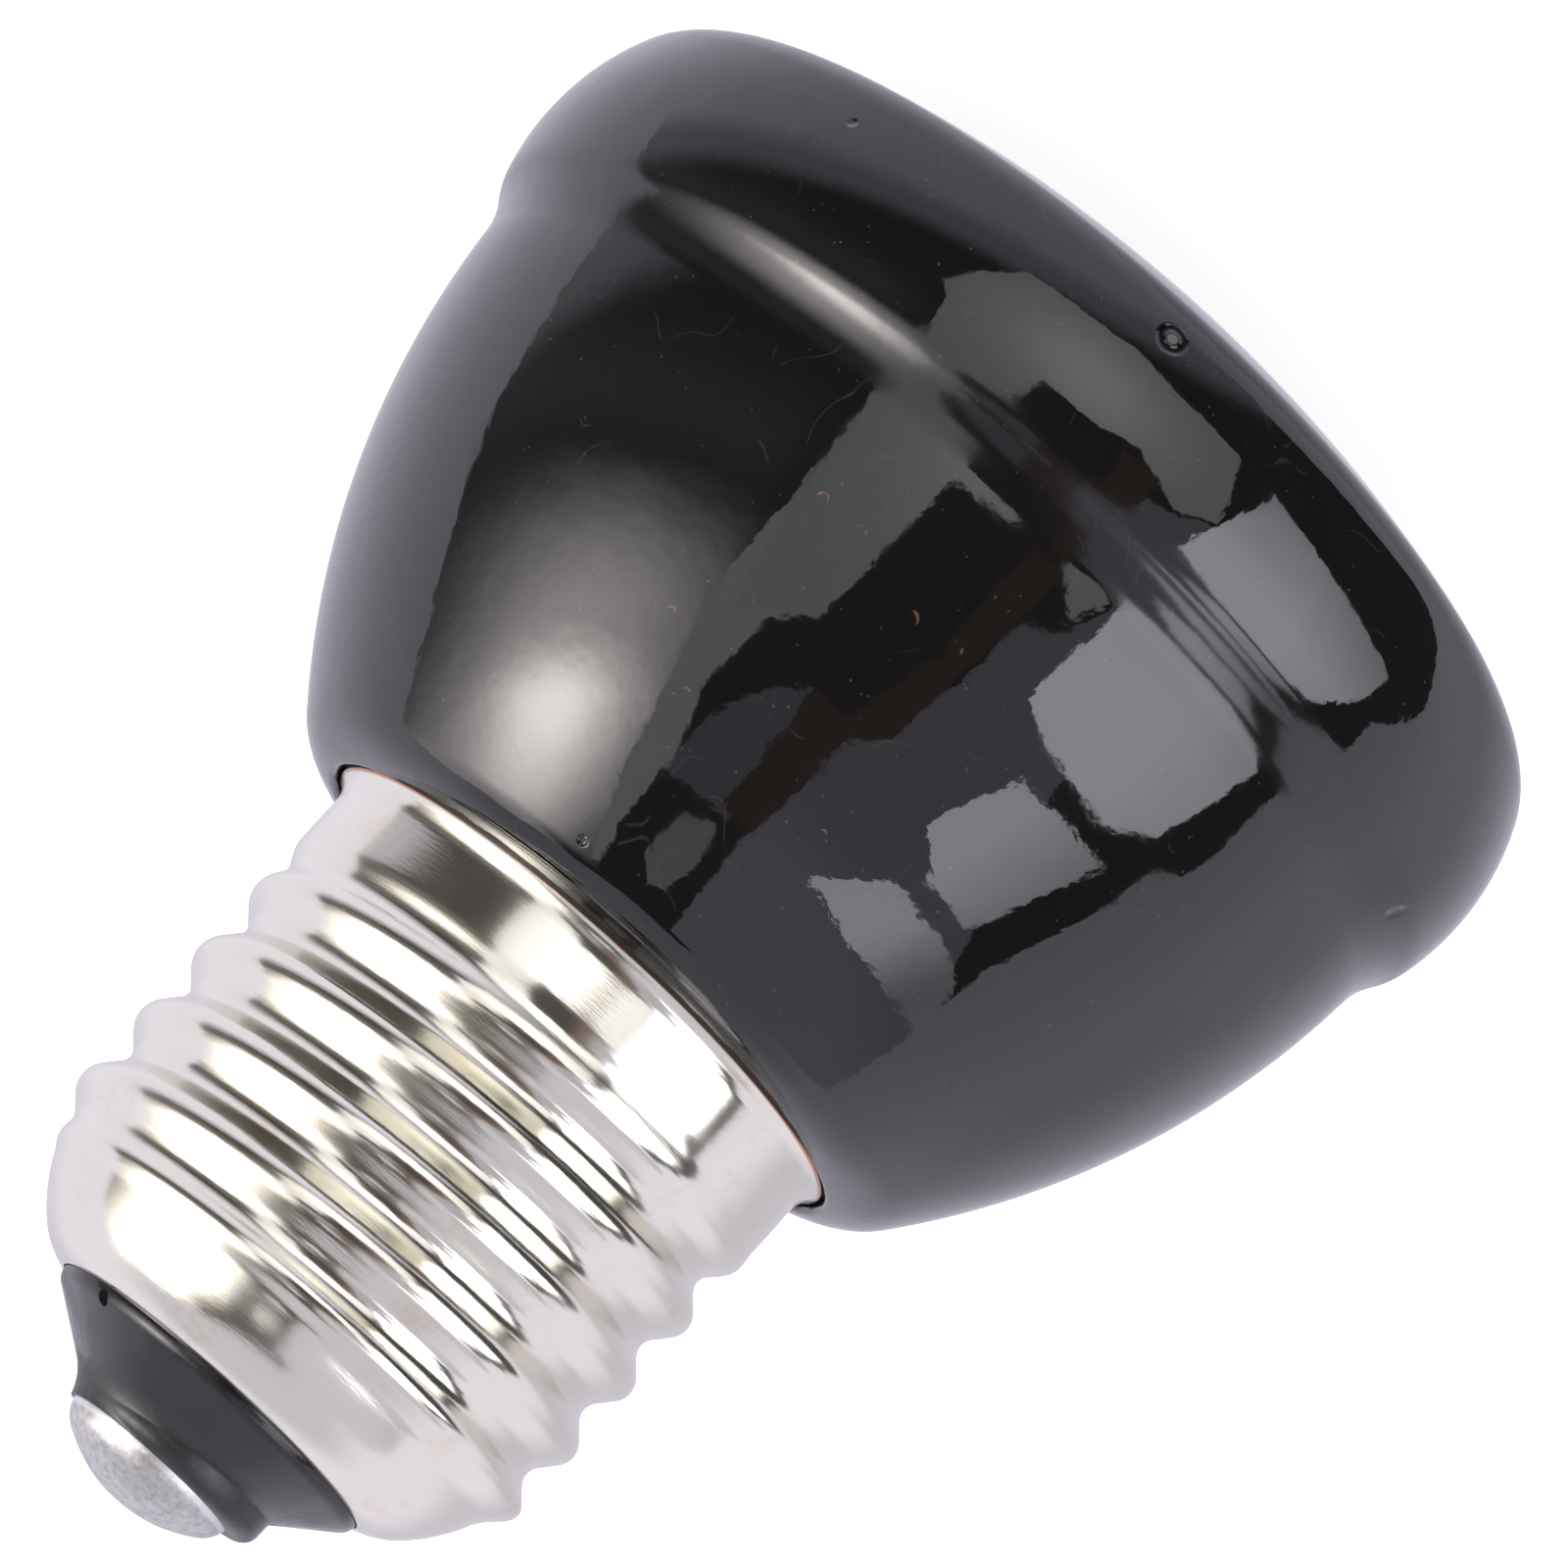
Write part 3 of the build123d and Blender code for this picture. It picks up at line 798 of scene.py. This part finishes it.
def new_material(name):
    """A material with a Principled shader, and the place on the piece in metres."""
    material = bpy.data.materials.new(name)
    material.use_nodes = True
    tree = material.node_tree
    shader = tree.nodes["Principled BSDF"]
    place = tree.nodes.new("ShaderNodeTexCoord").outputs["Object"]
    return material, tree, shader, place


def noise_at(tree, place, scale, detail=2.0, roughness=0.5):
    """The output of a noise, its scale in features for each metre."""
    made = add_node(
        tree, "ShaderNodeTexNoise", Vector=place, Scale=scale, Detail=detail, Roughness=roughness
    )
    return made.outputs[0]


def stretched(tree, place, scale):
    """Places stretched by a factor along each axis."""
    return add_node(tree, "ShaderNodeMapping", Vector=place, Scale=scale).outputs["Vector"]


def bump(tree, height, distance, below=None):
    """The normal that a height map gives, over another normal if there is one."""
    made = add_node(tree, "ShaderNodeBump", Height=height, Distance=distance, Strength=1.0)
    if below is not None:
        put(tree, made.inputs["Normal"], below)
    return made.outputs["Normal"]


def split(tree, place):
    """The X, Y and Z of a place."""
    return add_node(tree, "ShaderNodeSeparateXYZ", Vector=place).outputs


def from_axis(tree, parts):
    """How far a place is from the axis, from its X, Y and Z."""
    level = add_node(tree, "ShaderNodeCombineXYZ", X=parts["X"], Y=parts["Y"]).outputs[0]
    reach = add_node(tree, "ShaderNodeVectorMath", {"operation": "LENGTH"}, Vector=level)
    return reach.outputs["Value"]


def bell_reach(height):
    """The bell's outer radius at a height."""
    outline = bell_outline(settings("bell"), settings("inner"), CapShape())
    for low, high in zip(outline, outline[1:]):
        if low.z <= height < high.z:
            return low.lerp(high, (height - low.z) / (high.z - low.z)).x
    return outline[-1].x


def from_point(tree, place, degrees, reach, height, radius):
    """How far a place is from a point, in units of a radius; sizes in mm."""
    centre = Vector((reach * cos(radians(degrees)), reach * sin(radians(degrees)), height)) * MM
    away = add_node(tree, "ShaderNodeVectorMath", {"operation": "DISTANCE"}, Vector=place)
    away.inputs[1].default_value = centre
    return calculate(tree, "DIVIDE", away.outputs["Value"], radius * MM)


def from_spot(tree, place, degrees, height, radius):
    """How far a place is from a spot on the bell, in radii of the spot; sizes in mm."""
    return from_point(tree, place, degrees, bell_reach(height * MM) / MM, height, radius)


def speck_highlights(tree, place):
    """Where the painted amber highlights of small specks are, drawn as crescents: degrees round the
    axis, height, radius in mm.
    """
    specks = (
        (279.2, 20.41, 0.3), (284.0, 20.38, 0.3), (270.0, 21.70, 0.36), (264.9, 21.44, 0.36),
        (283.0, 29.32, 0.22), (261.3, 29.88, 0.2), (289.6, 27.30, 0.22), (276.7, 7.26, 0.2),
    )
    total = 0.0
    for degrees, height, radius in specks:
        # Each painted highlight is a crescent: a disc with an offset disc cut out above it
        disc = remap(tree, from_spot(tree, place, degrees, height, radius), 1.0, 0.75)
        hole = from_spot(tree, place, degrees, height + 0.35 * radius, radius)
        total = plus(tree, times(tree, disc, remap(tree, hole, 0.72, 0.95)), total)
    broken = remap(tree, noise_at(tree, place, 2600.0, 2.0), 0.42, 0.62)
    return times(tree, total, broken)


def glaze_flecks(tree, place):
    """Where fine pale dust and short, faint hairline scratches are."""
    cells = add_node(tree, "ShaderNodeTexVoronoi", Vector=place, Scale=2600.0)
    size = times(tree, noise_at(tree, place, 900.0), 0.24)
    dust = calculate(tree, "LESS_THAN", cells.outputs["Distance"], size)
    dust = times(tree, dust, remap(tree, noise_at(tree, place, 1500.0, 1.0), 0.56, 0.66))
    wander = noise_at(tree, stretched(tree, place, (1.0, 1.0, 0.6)), 260.0, 1.0, 0.4)
    line = calculate(tree, "ABSOLUTE", calculate(tree, "SUBTRACT", wander, 0.5))
    short = remap(tree, noise_at(tree, place, 420.0, 2.0), 0.53, 0.6)
    scratch = times(tree, remap(tree, line, 0.0035, 0.001, 0.0, 0.35), short)
    return calculate(tree, "MAXIMUM", dust, scratch)


def glaze_pits(tree, place):
    """The ring and the pale middle of a burst bubble, and the depth of all pits."""
    bubble = from_spot(tree, place, 269.4, 6.46, 0.78)
    ring = times(tree, remap(tree, bubble, 1.0, 0.68), remap(tree, bubble, 0.36, 0.62))
    dimple = remap(tree, from_spot(tree, place, 204.6, 13.82, 0.6), 1.0, 0.2)
    low_pit = remap(tree, from_spot(tree, place, 305.9, 7.31, 0.3), 1.0, 0.3)
    high_pit = remap(tree, from_spot(tree, place, 283.1, 35.87, 0.3), 1.0, 0.3)
    sunk = plus(tree, plus(tree, ring, dimple), plus(tree, low_pit, high_pit))
    return ring, remap(tree, bubble, 0.34, 0.24), sunk


def painted_lip_shadow(tree, place, parts):
    """Painted shadow beside the cap's lip: a dark, dull band of the glaze, wider at the front."""
    bell = settings("bell")
    finish = settings("finish")
    reach = from_axis(tree, parts)
    facing = calculate(tree, "DIVIDE", parts["Y"], reach)
    wide = remap(tree, facing, -0.3, -0.9, 0.0, finish.shadow_front)
    waver = times(tree, noise_at(tree, place, 700.0, 3.0), finish.shadow_waver)
    inside = plus(tree, calculate(tree, "SUBTRACT", reach, wide), waver)
    mouth = CapShape().lip + settings("inner").lip_side_gap + bell.seat_edge_radius
    near = remap(tree, inside, mouth, mouth - finish.shadow_fade)
    low = bell.height - finish.shadow_depth
    return times(tree, near, remap(tree, parts["Z"], low, low + finish.shadow_rise))


def glaze_material():
    """Glossy black glaze, rippled and flecked, with a painted shadow beside the cap's lip."""
    colours = settings("colours")
    finish = settings("finish")
    material, tree, shader, place = new_material("black_glaze")
    parts = split(tree, place)
    ring, pale_centre, depth = glaze_pits(tree, place)
    # Painted shadow beside the cap's lip: darker colour, rougher and less glossy glaze
    lip_shadow = painted_lip_shadow(tree, place, parts)
    base = opaque(colours.glaze)
    for mask, tone in (
        (glaze_flecks(tree, place), colours.glaze_fleck),
        (pale_centre, colours.bubble),
        # Painted amber highlights of small specks
        (speck_highlights(tree, place), colours.speck_highlight),
        # Painted shadow colour beside the cap's lip
        (lip_shadow, colours.painted_lip_shadow),
    ):
        base = mix_colours(tree, mask, base, opaque(tone))
    above = remap(tree, parts["Z"], finish.waist_low, finish.waist_low + finish.waist_fade)
    below = remap(
        tree, parts["Z"], finish.waist_high, finish.waist_high - finish.waist_fade, 0.0, 0.1
    )
    rough = remap(tree, noise_at(tree, place, 260.0, 4.0), 0.3, 0.8, 0.02, 0.07)
    rough = plus(tree, plus(tree, rough, times(tree, lip_shadow, 0.5)), times(tree, above, below))
    # The painted lip shadow also takes the gloss away; the bubble's ring dulls it too
    dull = calculate(tree, "MAXIMUM", times(tree, ring, 0.9), lip_shadow)
    ripple = bump(tree, noise_at(tree, place, 420.0, 3.0, 0.45), finish.glaze_ripple)
    ripple = bump(tree, noise_at(tree, place, 2200.0, 3.0, 0.6), finish.glaze_grain, ripple)
    raised = calculate(tree, "SUBTRACT", 1.0, depth)
    fill(
        tree,
        shader,
        Base_Color=base,
        Roughness=rough,
        Specular_IOR_Level=remap(tree, dull, 0.0, 1.0, 0.5, 0.05),
        Normal=bump(tree, raised, finish.glaze_pit, ripple),
        IOR=1.62,
    )
    return material


def nickel_material():
    """Bright nickel plate with a fine grain round the axis, faint stains and a worn lip."""
    colours = settings("colours")
    finish = settings("finish")
    shape = CapShape()
    material, tree, shader, place = new_material("nickel_plate")
    parts = split(tree, place)
    stain = remap(tree, noise_at(tree, place, 220.0, 8.0, 0.72), 0.52, 0.7, 0.0, 0.6)
    base = mix_colours(tree, stain, opaque(colours.nickel), opaque(colours.nickel_stain))
    low = remap(
        tree,
        parts["Z"],
        shape.lip_level + finish.worn_height,
        shape.lip_level + finish.worn_height / 3,
    )
    outer = remap(
        tree, from_axis(tree, parts), shape.lip - finish.worn_width, shape.lip - finish.worn_width / 2
    )
    grain = noise_at(tree, stretched(tree, place, (1.0, 1.0, 8.0)), 1400.0, 3.0)
    fill(
        tree,
        shader,
        Base_Color=mix_colours(tree, times(tree, low, outer), base, opaque(colours.lip)),
        Metallic=1.0,
        Roughness=remap(tree, noise_at(tree, place, 300.0, 4.0), 0.35, 0.75, 0.13, 0.2),
        Normal=bump(tree, grain, finish.plate_grain),
    )
    return material


def glass_material():
    """Black glass with dull smears, dust on its neck and one black pit."""
    colours = settings("colours")
    finish = settings("finish")
    material, tree, shader, place = new_material("black_glass")
    neck = remap(
        tree,
        from_axis(tree, split(tree, place)),
        finish.dust_reach + finish.dust_fade,
        finish.dust_reach - finish.dust_fade,
    )
    dust = remap(tree, noise_at(tree, place, 3400.0, 4.0, 0.7), 0.5, 0.75)
    dusty = times(tree, neck, plus(tree, dust, 0.15))
    pit = remap(tree, from_point(tree, place, 318.6, 7.88, 61.24, 0.42), 1.0, 0.75, 0.5, 0.0)
    rough = remap(tree, noise_at(tree, place, 380.0, 4.0, 0.6), 0.35, 0.7, 0.1, 0.35)
    fill(
        tree,
        shader,
        Base_Color=mix_colours(tree, dusty, opaque(colours.glass), opaque(colours.glass_dust)),
        Roughness=plus(tree, rough, times(tree, neck, 0.15)),
        Specular_IOR_Level=pit,
        Normal=bump(tree, noise_at(tree, place, 900.0, 3.0), finish.glass_smear),
        IOR=1.52,
    )
    return material


def solder_material():
    """Dull, grainy solder, a little brighter in patches, with a painted highlight along its foot."""
    colours = settings("colours")
    finish = settings("finish")
    shape = CapShape()
    material, tree, shader, place = new_material("solder")
    grain = noise_at(tree, place, 3200.0, 4.0, 0.7)
    tone = remap(tree, noise_at(tree, place, 2600.0, 6.0, 0.7), 0.3, 0.7)
    base = mix_colours(tree, tone, opaque(colours.solder_dull), opaque(colours.solder))
    # Painted highlight: a pale band round the solder's foot, where its edge turns
    rim = shape.above_lip(0, shape.contact_seat).z + finish.solder_highlight
    foot = remap(
        tree,
        split(tree, place)["Z"],
        rim + finish.solder_highlight_fade,
        rim - finish.solder_highlight_fade,
        0.0,
        0.75,
    )
    fill(
        tree,
        shader,
        Base_Color=mix_colours(tree, foot, base, opaque(colours.solder_highlight)),
        Metallic=1.0,
        Roughness=remap(tree, grain, 0.3, 0.7, 0.36, 0.5),
        Normal=bump(tree, grain, finish.solder_grain),
    )
    return material


def metal_material(name, base, roughness):
    """A plain metal with faint streaks."""
    material, tree, shader, place = new_material(name)
    streak = noise_at(tree, stretched(tree, place, (1.0, 1.0, 0.1)), 2500.0, 3.0)
    dull = tuple(0.7 * part for part in base)
    fill(
        tree,
        shader,
        Base_Color=mix_colours(tree, remap(tree, streak, 0.3, 0.7), opaque(dull), opaque(base)),
        Metallic=1.0,
        Roughness=remap(tree, streak, 0.3, 0.7, roughness, roughness + 0.15),
    )
    return material


def cement_material():
    """Matt, grainy basing cement."""
    cement = settings("colours").cement
    material, tree, shader, place = new_material("basing_cement")
    grain = noise_at(tree, place, 2200.0, 5.0, 0.7)
    dark = tuple(0.72 * part for part in cement)
    fill(
        tree,
        shader,
        Base_Color=mix_colours(tree, remap(tree, grain, 0.3, 0.7), opaque(dark), opaque(cement)),
        Roughness=0.9,
        Normal=bump(tree, grain, settings("finish").cement_grain),
    )
    return material


def card_direction(azimuth, elevation):
    """A direction from the object: azimuth from -Y towards +X, and elevation, in degrees."""
    level = cos(radians(elevation))
    return Vector(
        (sin(radians(azimuth)) * level, -cos(radians(azimuth)) * level, sin(radians(elevation)))
    )


def stage_material(name):
    """A material without a shader yet, and the socket that one goes into."""
    material = bpy.data.materials.new(name)
    material.use_nodes = True
    tree = material.node_tree
    tree.nodes.remove(tree.nodes["Principled BSDF"])
    return material, tree, tree.nodes["Material Output"].inputs["Surface"]


def glow_material(name, tint):
    """A card that shines with the brightness in its vertices' glow attribute."""
    material, tree, surface = stage_material(name)
    glow = add_node(tree, "ShaderNodeAttribute", {"attribute_name": "glow"}).outputs["Fac"]
    shine = add_node(tree, "ShaderNodeEmission", Color=opaque(tint), Strength=glow)
    tree.links.new(shine.outputs[0], surface)
    return material


def studio_card(name, layer, tint, corners, glow, finest=3.0):
    """A curved card round the object, drawn through corners of azimuth and elevation.

    A card of a higher layer lies further back. Its edges are at most finest degrees long.
    """
    stage = settings("stage")
    mesh = bmesh.new()
    level = mesh.verts.layers.float.new("glow")
    points = [mesh.verts.new((azimuth, elevation, 0)) for azimuth, elevation in corners]
    face = mesh.faces.new(points)
    bmesh.ops.triangulate(mesh, faces=[face], quad_method="BEAUTY", ngon_method="BEAUTY")
    for _ in range(CARD_ROUNDS):
        long_edges = [edge for edge in mesh.edges if edge.calc_length() > finest]
        if not long_edges:
            break
        bmesh.ops.subdivide_edges(mesh, edges=long_edges, cuts=1, use_grid_fill=True)
        bmesh.ops.triangulate(mesh, faces=mesh.faces[:])
    reach = stage.card_reach + layer * stage.card_step
    for vert in mesh.verts:
        azimuth, elevation = vert.co.x, vert.co.y
        vert[level] = glow(azimuth, elevation) if callable(glow) else glow
        vert.co = card_direction(azimuth, elevation) * reach
    card = new_object(mesh, name, glow_material(name, tint))
    card.visible_camera = False


def ramp(value, start, end):
    """A smooth rise from 0 at start to 1 at end."""
    return eased((value - start) / (end - start))


def hump(value, centre, width):
    """A bell curve of height 1."""
    return exp(-(((value - centre) / width) ** 2) / 2)


# Brightness of the cards by azimuth and elevation in degrees, where the tent's walls are 1


def tent_glow(azimuth, elevation):
    """The tent's roof, which is a little darker than its walls."""
    return 1 - 0.27 * ramp(elevation, 50, 66)


def back_glow(azimuth, elevation):
    """The tent behind the object on its right, which is darker than the rest."""
    across = ramp(azimuth, -98, -125) * ramp(azimuth, -220, -185)
    return 1 - 0.3 * across * ramp(elevation, 32, 15)


def drape_glow(azimuth, elevation):
    """The dark drape: the soft box shines through it and its lower edge catches light."""
    box_level = 44
    spread = 8.5 if elevation > box_level else 3.8
    box = 9 * hump(azimuth, 63, 13) * hump(elevation, box_level, spread)
    screen = 3.4 * hump(azimuth, 62, 21) * ramp(elevation, 13, 33) * ramp(elevation, 72, 52)
    halo = 1.7 * ramp(elevation, 28, 50) * ramp(azimuth, 60, 86)
    shine = (box + screen + halo) * ramp(azimuth, 30, 38)
    fold = 0.12 * hump(elevation, 8, 5) * ramp(azimuth, 30, 45)
    edge_slope = radians(23.95)
    above_edge = cos(edge_slope) * (elevation + 26) - sin(edge_slope) * (azimuth - 50)
    edge = 0.5 * ramp(above_edge, 9, -1) + 0.42 * ramp(above_edge, -2, -14)
    return 0.08 + shine + fold + edge


def wall_glow(azimuth, elevation):
    """The grey wall, which is a little paler at its top."""
    return 0.56 + 0.18 * ramp(elevation, 38, 50)


def front_glow(azimuth, elevation):
    """The pale panel in front of the object, brightest low in its middle."""
    return 1.15 + hump(azimuth, 5, 13) * hump(elevation, -15, 13)


def low_pane_glow(azimuth, elevation):
    """The lowest pane, which is dimmer below and at its far side."""
    return 3.9 + 0.055 * min(elevation, 0) - 0.05 * max(-52 - azimuth, 0)


def middle_pane_glow(azimuth, elevation):
    """The middle pane, which is dimmer at its far side."""
    return 3.4 - 0.08 * max(-46 - azimuth, 0)


def top_pane_glow(azimuth, elevation):
    """The highest pane, which fades out at its far side."""
    return 3.2 - 2.2 * ramp(azimuth, -48, -74)


class HEATEMITTER_OT_stage(Operator):
    """Set up the floor, the studio cards, the world and the camera"""

    bl_idname = "heat_emitter.stage"
    bl_label = "Stage"

    def execute(self, context):
        self.add_floor()
        self.add_cards()
        self.set_world(context)
        self.add_camera(context)
        context.scene.view_settings.view_transform = "Standard"
        return {"FINISHED"}

    def add_floor(self):
        """A plain pale floor that shows white and keeps the object's shadow."""
        stage = settings("stage")
        mesh = bmesh.new()
        bmesh.ops.create_grid(mesh, x_segments=1, y_segments=1, size=stage.floor_side / 2)
        material, tree, surface = stage_material("pale_floor")
        lit = add_node(tree, "ShaderNodeBsdfDiffuse", Color=opaque([stage.floor_tone] * 3))
        seen = tree.nodes.new("ShaderNodeLightPath").outputs["Is Camera Ray"]
        lift = add_node(
            tree,
            "ShaderNodeEmission",
            Color=(1.0, 1.0, 1.0, 1.0),
            Strength=times(tree, seen, stage.floor_lift),
        )
        both = tree.nodes.new("ShaderNodeAddShader")
        tree.links.new(lit.outputs[0], both.inputs[0])
        tree.links.new(lift.outputs[0], both.inputs[1])
        tree.links.new(both.outputs[0], surface)
        floor = new_object(mesh, "floor", material)
        floor.visible_glossy = False

    def add_cards(self):
        """The tent's roof, and the dark side of the studio with its bright panes and panels."""
        studio_card(
            "tent_roof", 6, TENT, [(-180, 48), (180, 48), (180, 89), (-180, 89)], tent_glow, 6.0
        )
        studio_card(
            "tent_back", 6, TENT, [(-98, -85), (-98, 32), (-220, 32), (-220, -85)], back_glow, 6.0
        )
        studio_card(
            "drape",
            5,
            WARM,
            [
                (118, 52), (116, 36), (107, 28), (107, 5), (108, -15), (92, -23), (65, -35),
                (40, -46), (28, -51), (0, -60), (-30, -60), (-60, -58), (-93, -50), (-97, -40),
                (-91, -24), (-84, -12), (-79, -6), (-79, 7), (-73, 10), (-73, 31), (-80, 38),
                (-70, 52), (-45, 64), (-25, 72), (30, 74), (62, 74), (98, 66),
            ],
            drape_glow,
            1.6,
        )
        studio_card(
            "drape_edge",
            4,
            TENT,
            [
                (104, 3), (112, -17), (94, -26), (65, -38), (40, -49), (28, -54), (0, -64),
                (-34, -64), (-34, -57), (0, -43), (50, -20),
            ],
            drape_glow,
            1.6,
        )
        studio_card(
            "grey_wall",
            4,
            TENT,
            [
                (-13, 68), (-45, 68), (-75, 62), (-97, 52), (-97, 45), (-79, 37), (-62, 31),
                (-44, 15), (-44, -8), (-27, -4), (-22, 4), (-16, 6), (-16, 18), (-7, 28), (-7, 50),
            ],
            wall_glow,
        )
        studio_card(
            "grey_screen", 4, TENT, [(25, 50), (0, 50), (0, 40), (6, 30), (12, 32), (22, 40)], 0.42
        )
        studio_card(
            "roof_light", 4, PALE, [(14, 53), (15, 60), (9, 64), (1, 62), (-3, 57), (2, 52)], 0.85
        )
        studio_card(
            "pale_gap",
            4,
            PALE,
            [
                (36, 64), (32, 64), (28, 55), (24, 47), (27, 38), (23, 27), (13, 22), (20, 12),
                (33, 12), (36, 24),
            ],
            1.25,
        )
        studio_card(
            "brown_cloth",
            3,
            BROWN,
            [
                (5, 49), (-8, 49), (-8, 32), (-14, 28), (-16, -2), (-8, -2), (-9, 18), (-4, 30),
                (5, 30),
            ],
            0.2,
        )
        studio_card(
            "front_panel",
            2,
            PALE,
            [
                (31, 28), (14, 22), (11, -1), (-2, -2), (-9, -7), (-16, -2), (-22, 2), (-28, -7),
                (-27, -35), (3, -38), (28, -33), (33, -20), (37, -8), (33, -2), (33, 12),
            ],
            front_glow,
        )
        studio_card(
            "low_pane",
            1,
            PANE,
            [
                (-27, 11), (-37, 14), (-57, 13), (-67, 8), (-72, -5), (-78, -20), (-62, -26),
                (-37, -34), (-28, -5),
            ],
            low_pane_glow,
        )
        studio_card(
            "middle_pane",
            1,
            PANE,
            [(-34, 31), (-46, 34), (-61, 32), (-63, 22), (-66, 15), (-39, 18), (-35, 25)],
            middle_pane_glow,
        )
        studio_card(
            "top_pane",
            1,
            PANE,
            [(-28, 47), (-52, 46), (-63, 43), (-84, 38), (-72, 34), (-58, 35), (-42, 38)],
            top_pane_glow,
        )

    def set_world(self, context):
        """White where the camera looks, a pale tent in gloss and glass, soft light elsewhere."""
        world = bpy.data.worlds.new("soft_studio")
        world.use_nodes = True
        tree = world.node_tree
        paths = tree.nodes.new("ShaderNodeLightPath").outputs
        mirrored = calculate(tree, "MAXIMUM", paths["Is Glossy Ray"], paths["Is Transmission Ray"])
        strength = settings("stage").soft_light
        soft = add_node(tree, "ShaderNodeBackground", Color=(1, 1, 1, 1), Strength=strength)
        tent = add_node(tree, "ShaderNodeBackground", Color=opaque(TENT), Strength=1.0)
        white = add_node(tree, "ShaderNodeBackground", Color=(1, 1, 1, 1), Strength=1.0)
        around = self.mixed(tree, mirrored, soft, tent)
        shown = self.mixed(tree, paths["Is Camera Ray"], around, white)
        tree.links.new(shown.outputs[0], tree.nodes["World Output"].inputs["Surface"])
        context.scene.world = world

    def mixed(self, tree, factor, first, second):
        """A mix of two shaders."""
        made = tree.nodes.new("ShaderNodeMixShader")
        tree.links.new(factor, made.inputs[0])
        tree.links.new(first.outputs[0], made.inputs[1])
        tree.links.new(second.outputs[0], made.inputs[2])
        return made

    def add_camera(self, context):
        """The photograph's view."""
        stage = settings("stage")
        data = bpy.data.cameras.new("camera")
        data.lens = stage.lens
        data.sensor_width = stage.sensor
        camera = bpy.data.objects.new("camera", data)
        place = Matrix.Translation((stage.camera_side, stage.camera_back, stage.camera_height))
        dip = Matrix.Rotation(pi / 2 - stage.camera_dip, 4, "X")
        camera.matrix_world = place @ dip @ Matrix.Rotation(stage.camera_roll, 4, "Z")
        context.scene.collection.objects.link(camera)
        context.scene.camera = camera


GROUPS = {
    "bell": BellSizes,
    "cap": CapSizes,
    "insulator": InsulatorSizes,
    "contact": ContactSizes,
    "inner": InnerSizes,
    "finish": FinishSizes,
    "colours": FinishColours,
    "stage": StageSizes,
}
OPERATORS = (
    HEATEMITTER_OT_bell,
    HEATEMITTER_OT_screw_shell,
    HEATEMITTER_OT_insulator,
    HEATEMITTER_OT_contact,
    HEATEMITTER_OT_inner_finishes,
    HEATEMITTER_OT_stage,
)


class HEATEMITTER_PT_sidebar(Panel):
    """Sizes, colours and building steps of the heat emitter"""

    bl_idname = "HEATEMITTER_PT_sidebar"
    bl_label = "Heat Emitter"
    bl_space_type = "VIEW_3D"
    bl_region_type = "UI"
    bl_category = "Heat Emitter"

    def draw(self, context):
        for operator in OPERATORS:
            self.layout.operator(operator.bl_idname)
        for name in GROUPS:
            box = self.layout.box()
            box.label(text=name.capitalize())
            for key in settings(name).bl_rna.properties.keys():
                if key not in ("rna_type", "name"):
                    box.prop(settings(name), key)


def register():
    """Registers the groups, the operators and the panel."""
    for name, group in GROUPS.items():
        bpy.utils.register_class(group)
        setattr(bpy.types.Scene, "heat_emitter_" + name, PointerProperty(type=group))
    for item in (*OPERATORS, HEATEMITTER_PT_sidebar):
        bpy.utils.register_class(item)


def unregister():
    """Takes out what register put in."""
    for item in (HEATEMITTER_PT_sidebar, *reversed(OPERATORS)):
        bpy.utils.unregister_class(item)
    for name, group in reversed(GROUPS.items()):
        delattr(bpy.types.Scene, "heat_emitter_" + name)
        bpy.utils.unregister_class(group)


def main():
    """Builds the object and its stage."""
    register()
    bpy.ops.heat_emitter.bell()
    bpy.ops.heat_emitter.screw_shell()
    bpy.ops.heat_emitter.insulator()
    bpy.ops.heat_emitter.contact()
    bpy.ops.heat_emitter.inner_finishes()
    bpy.ops.heat_emitter.stage()


if __name__ == "__main__":
    main()
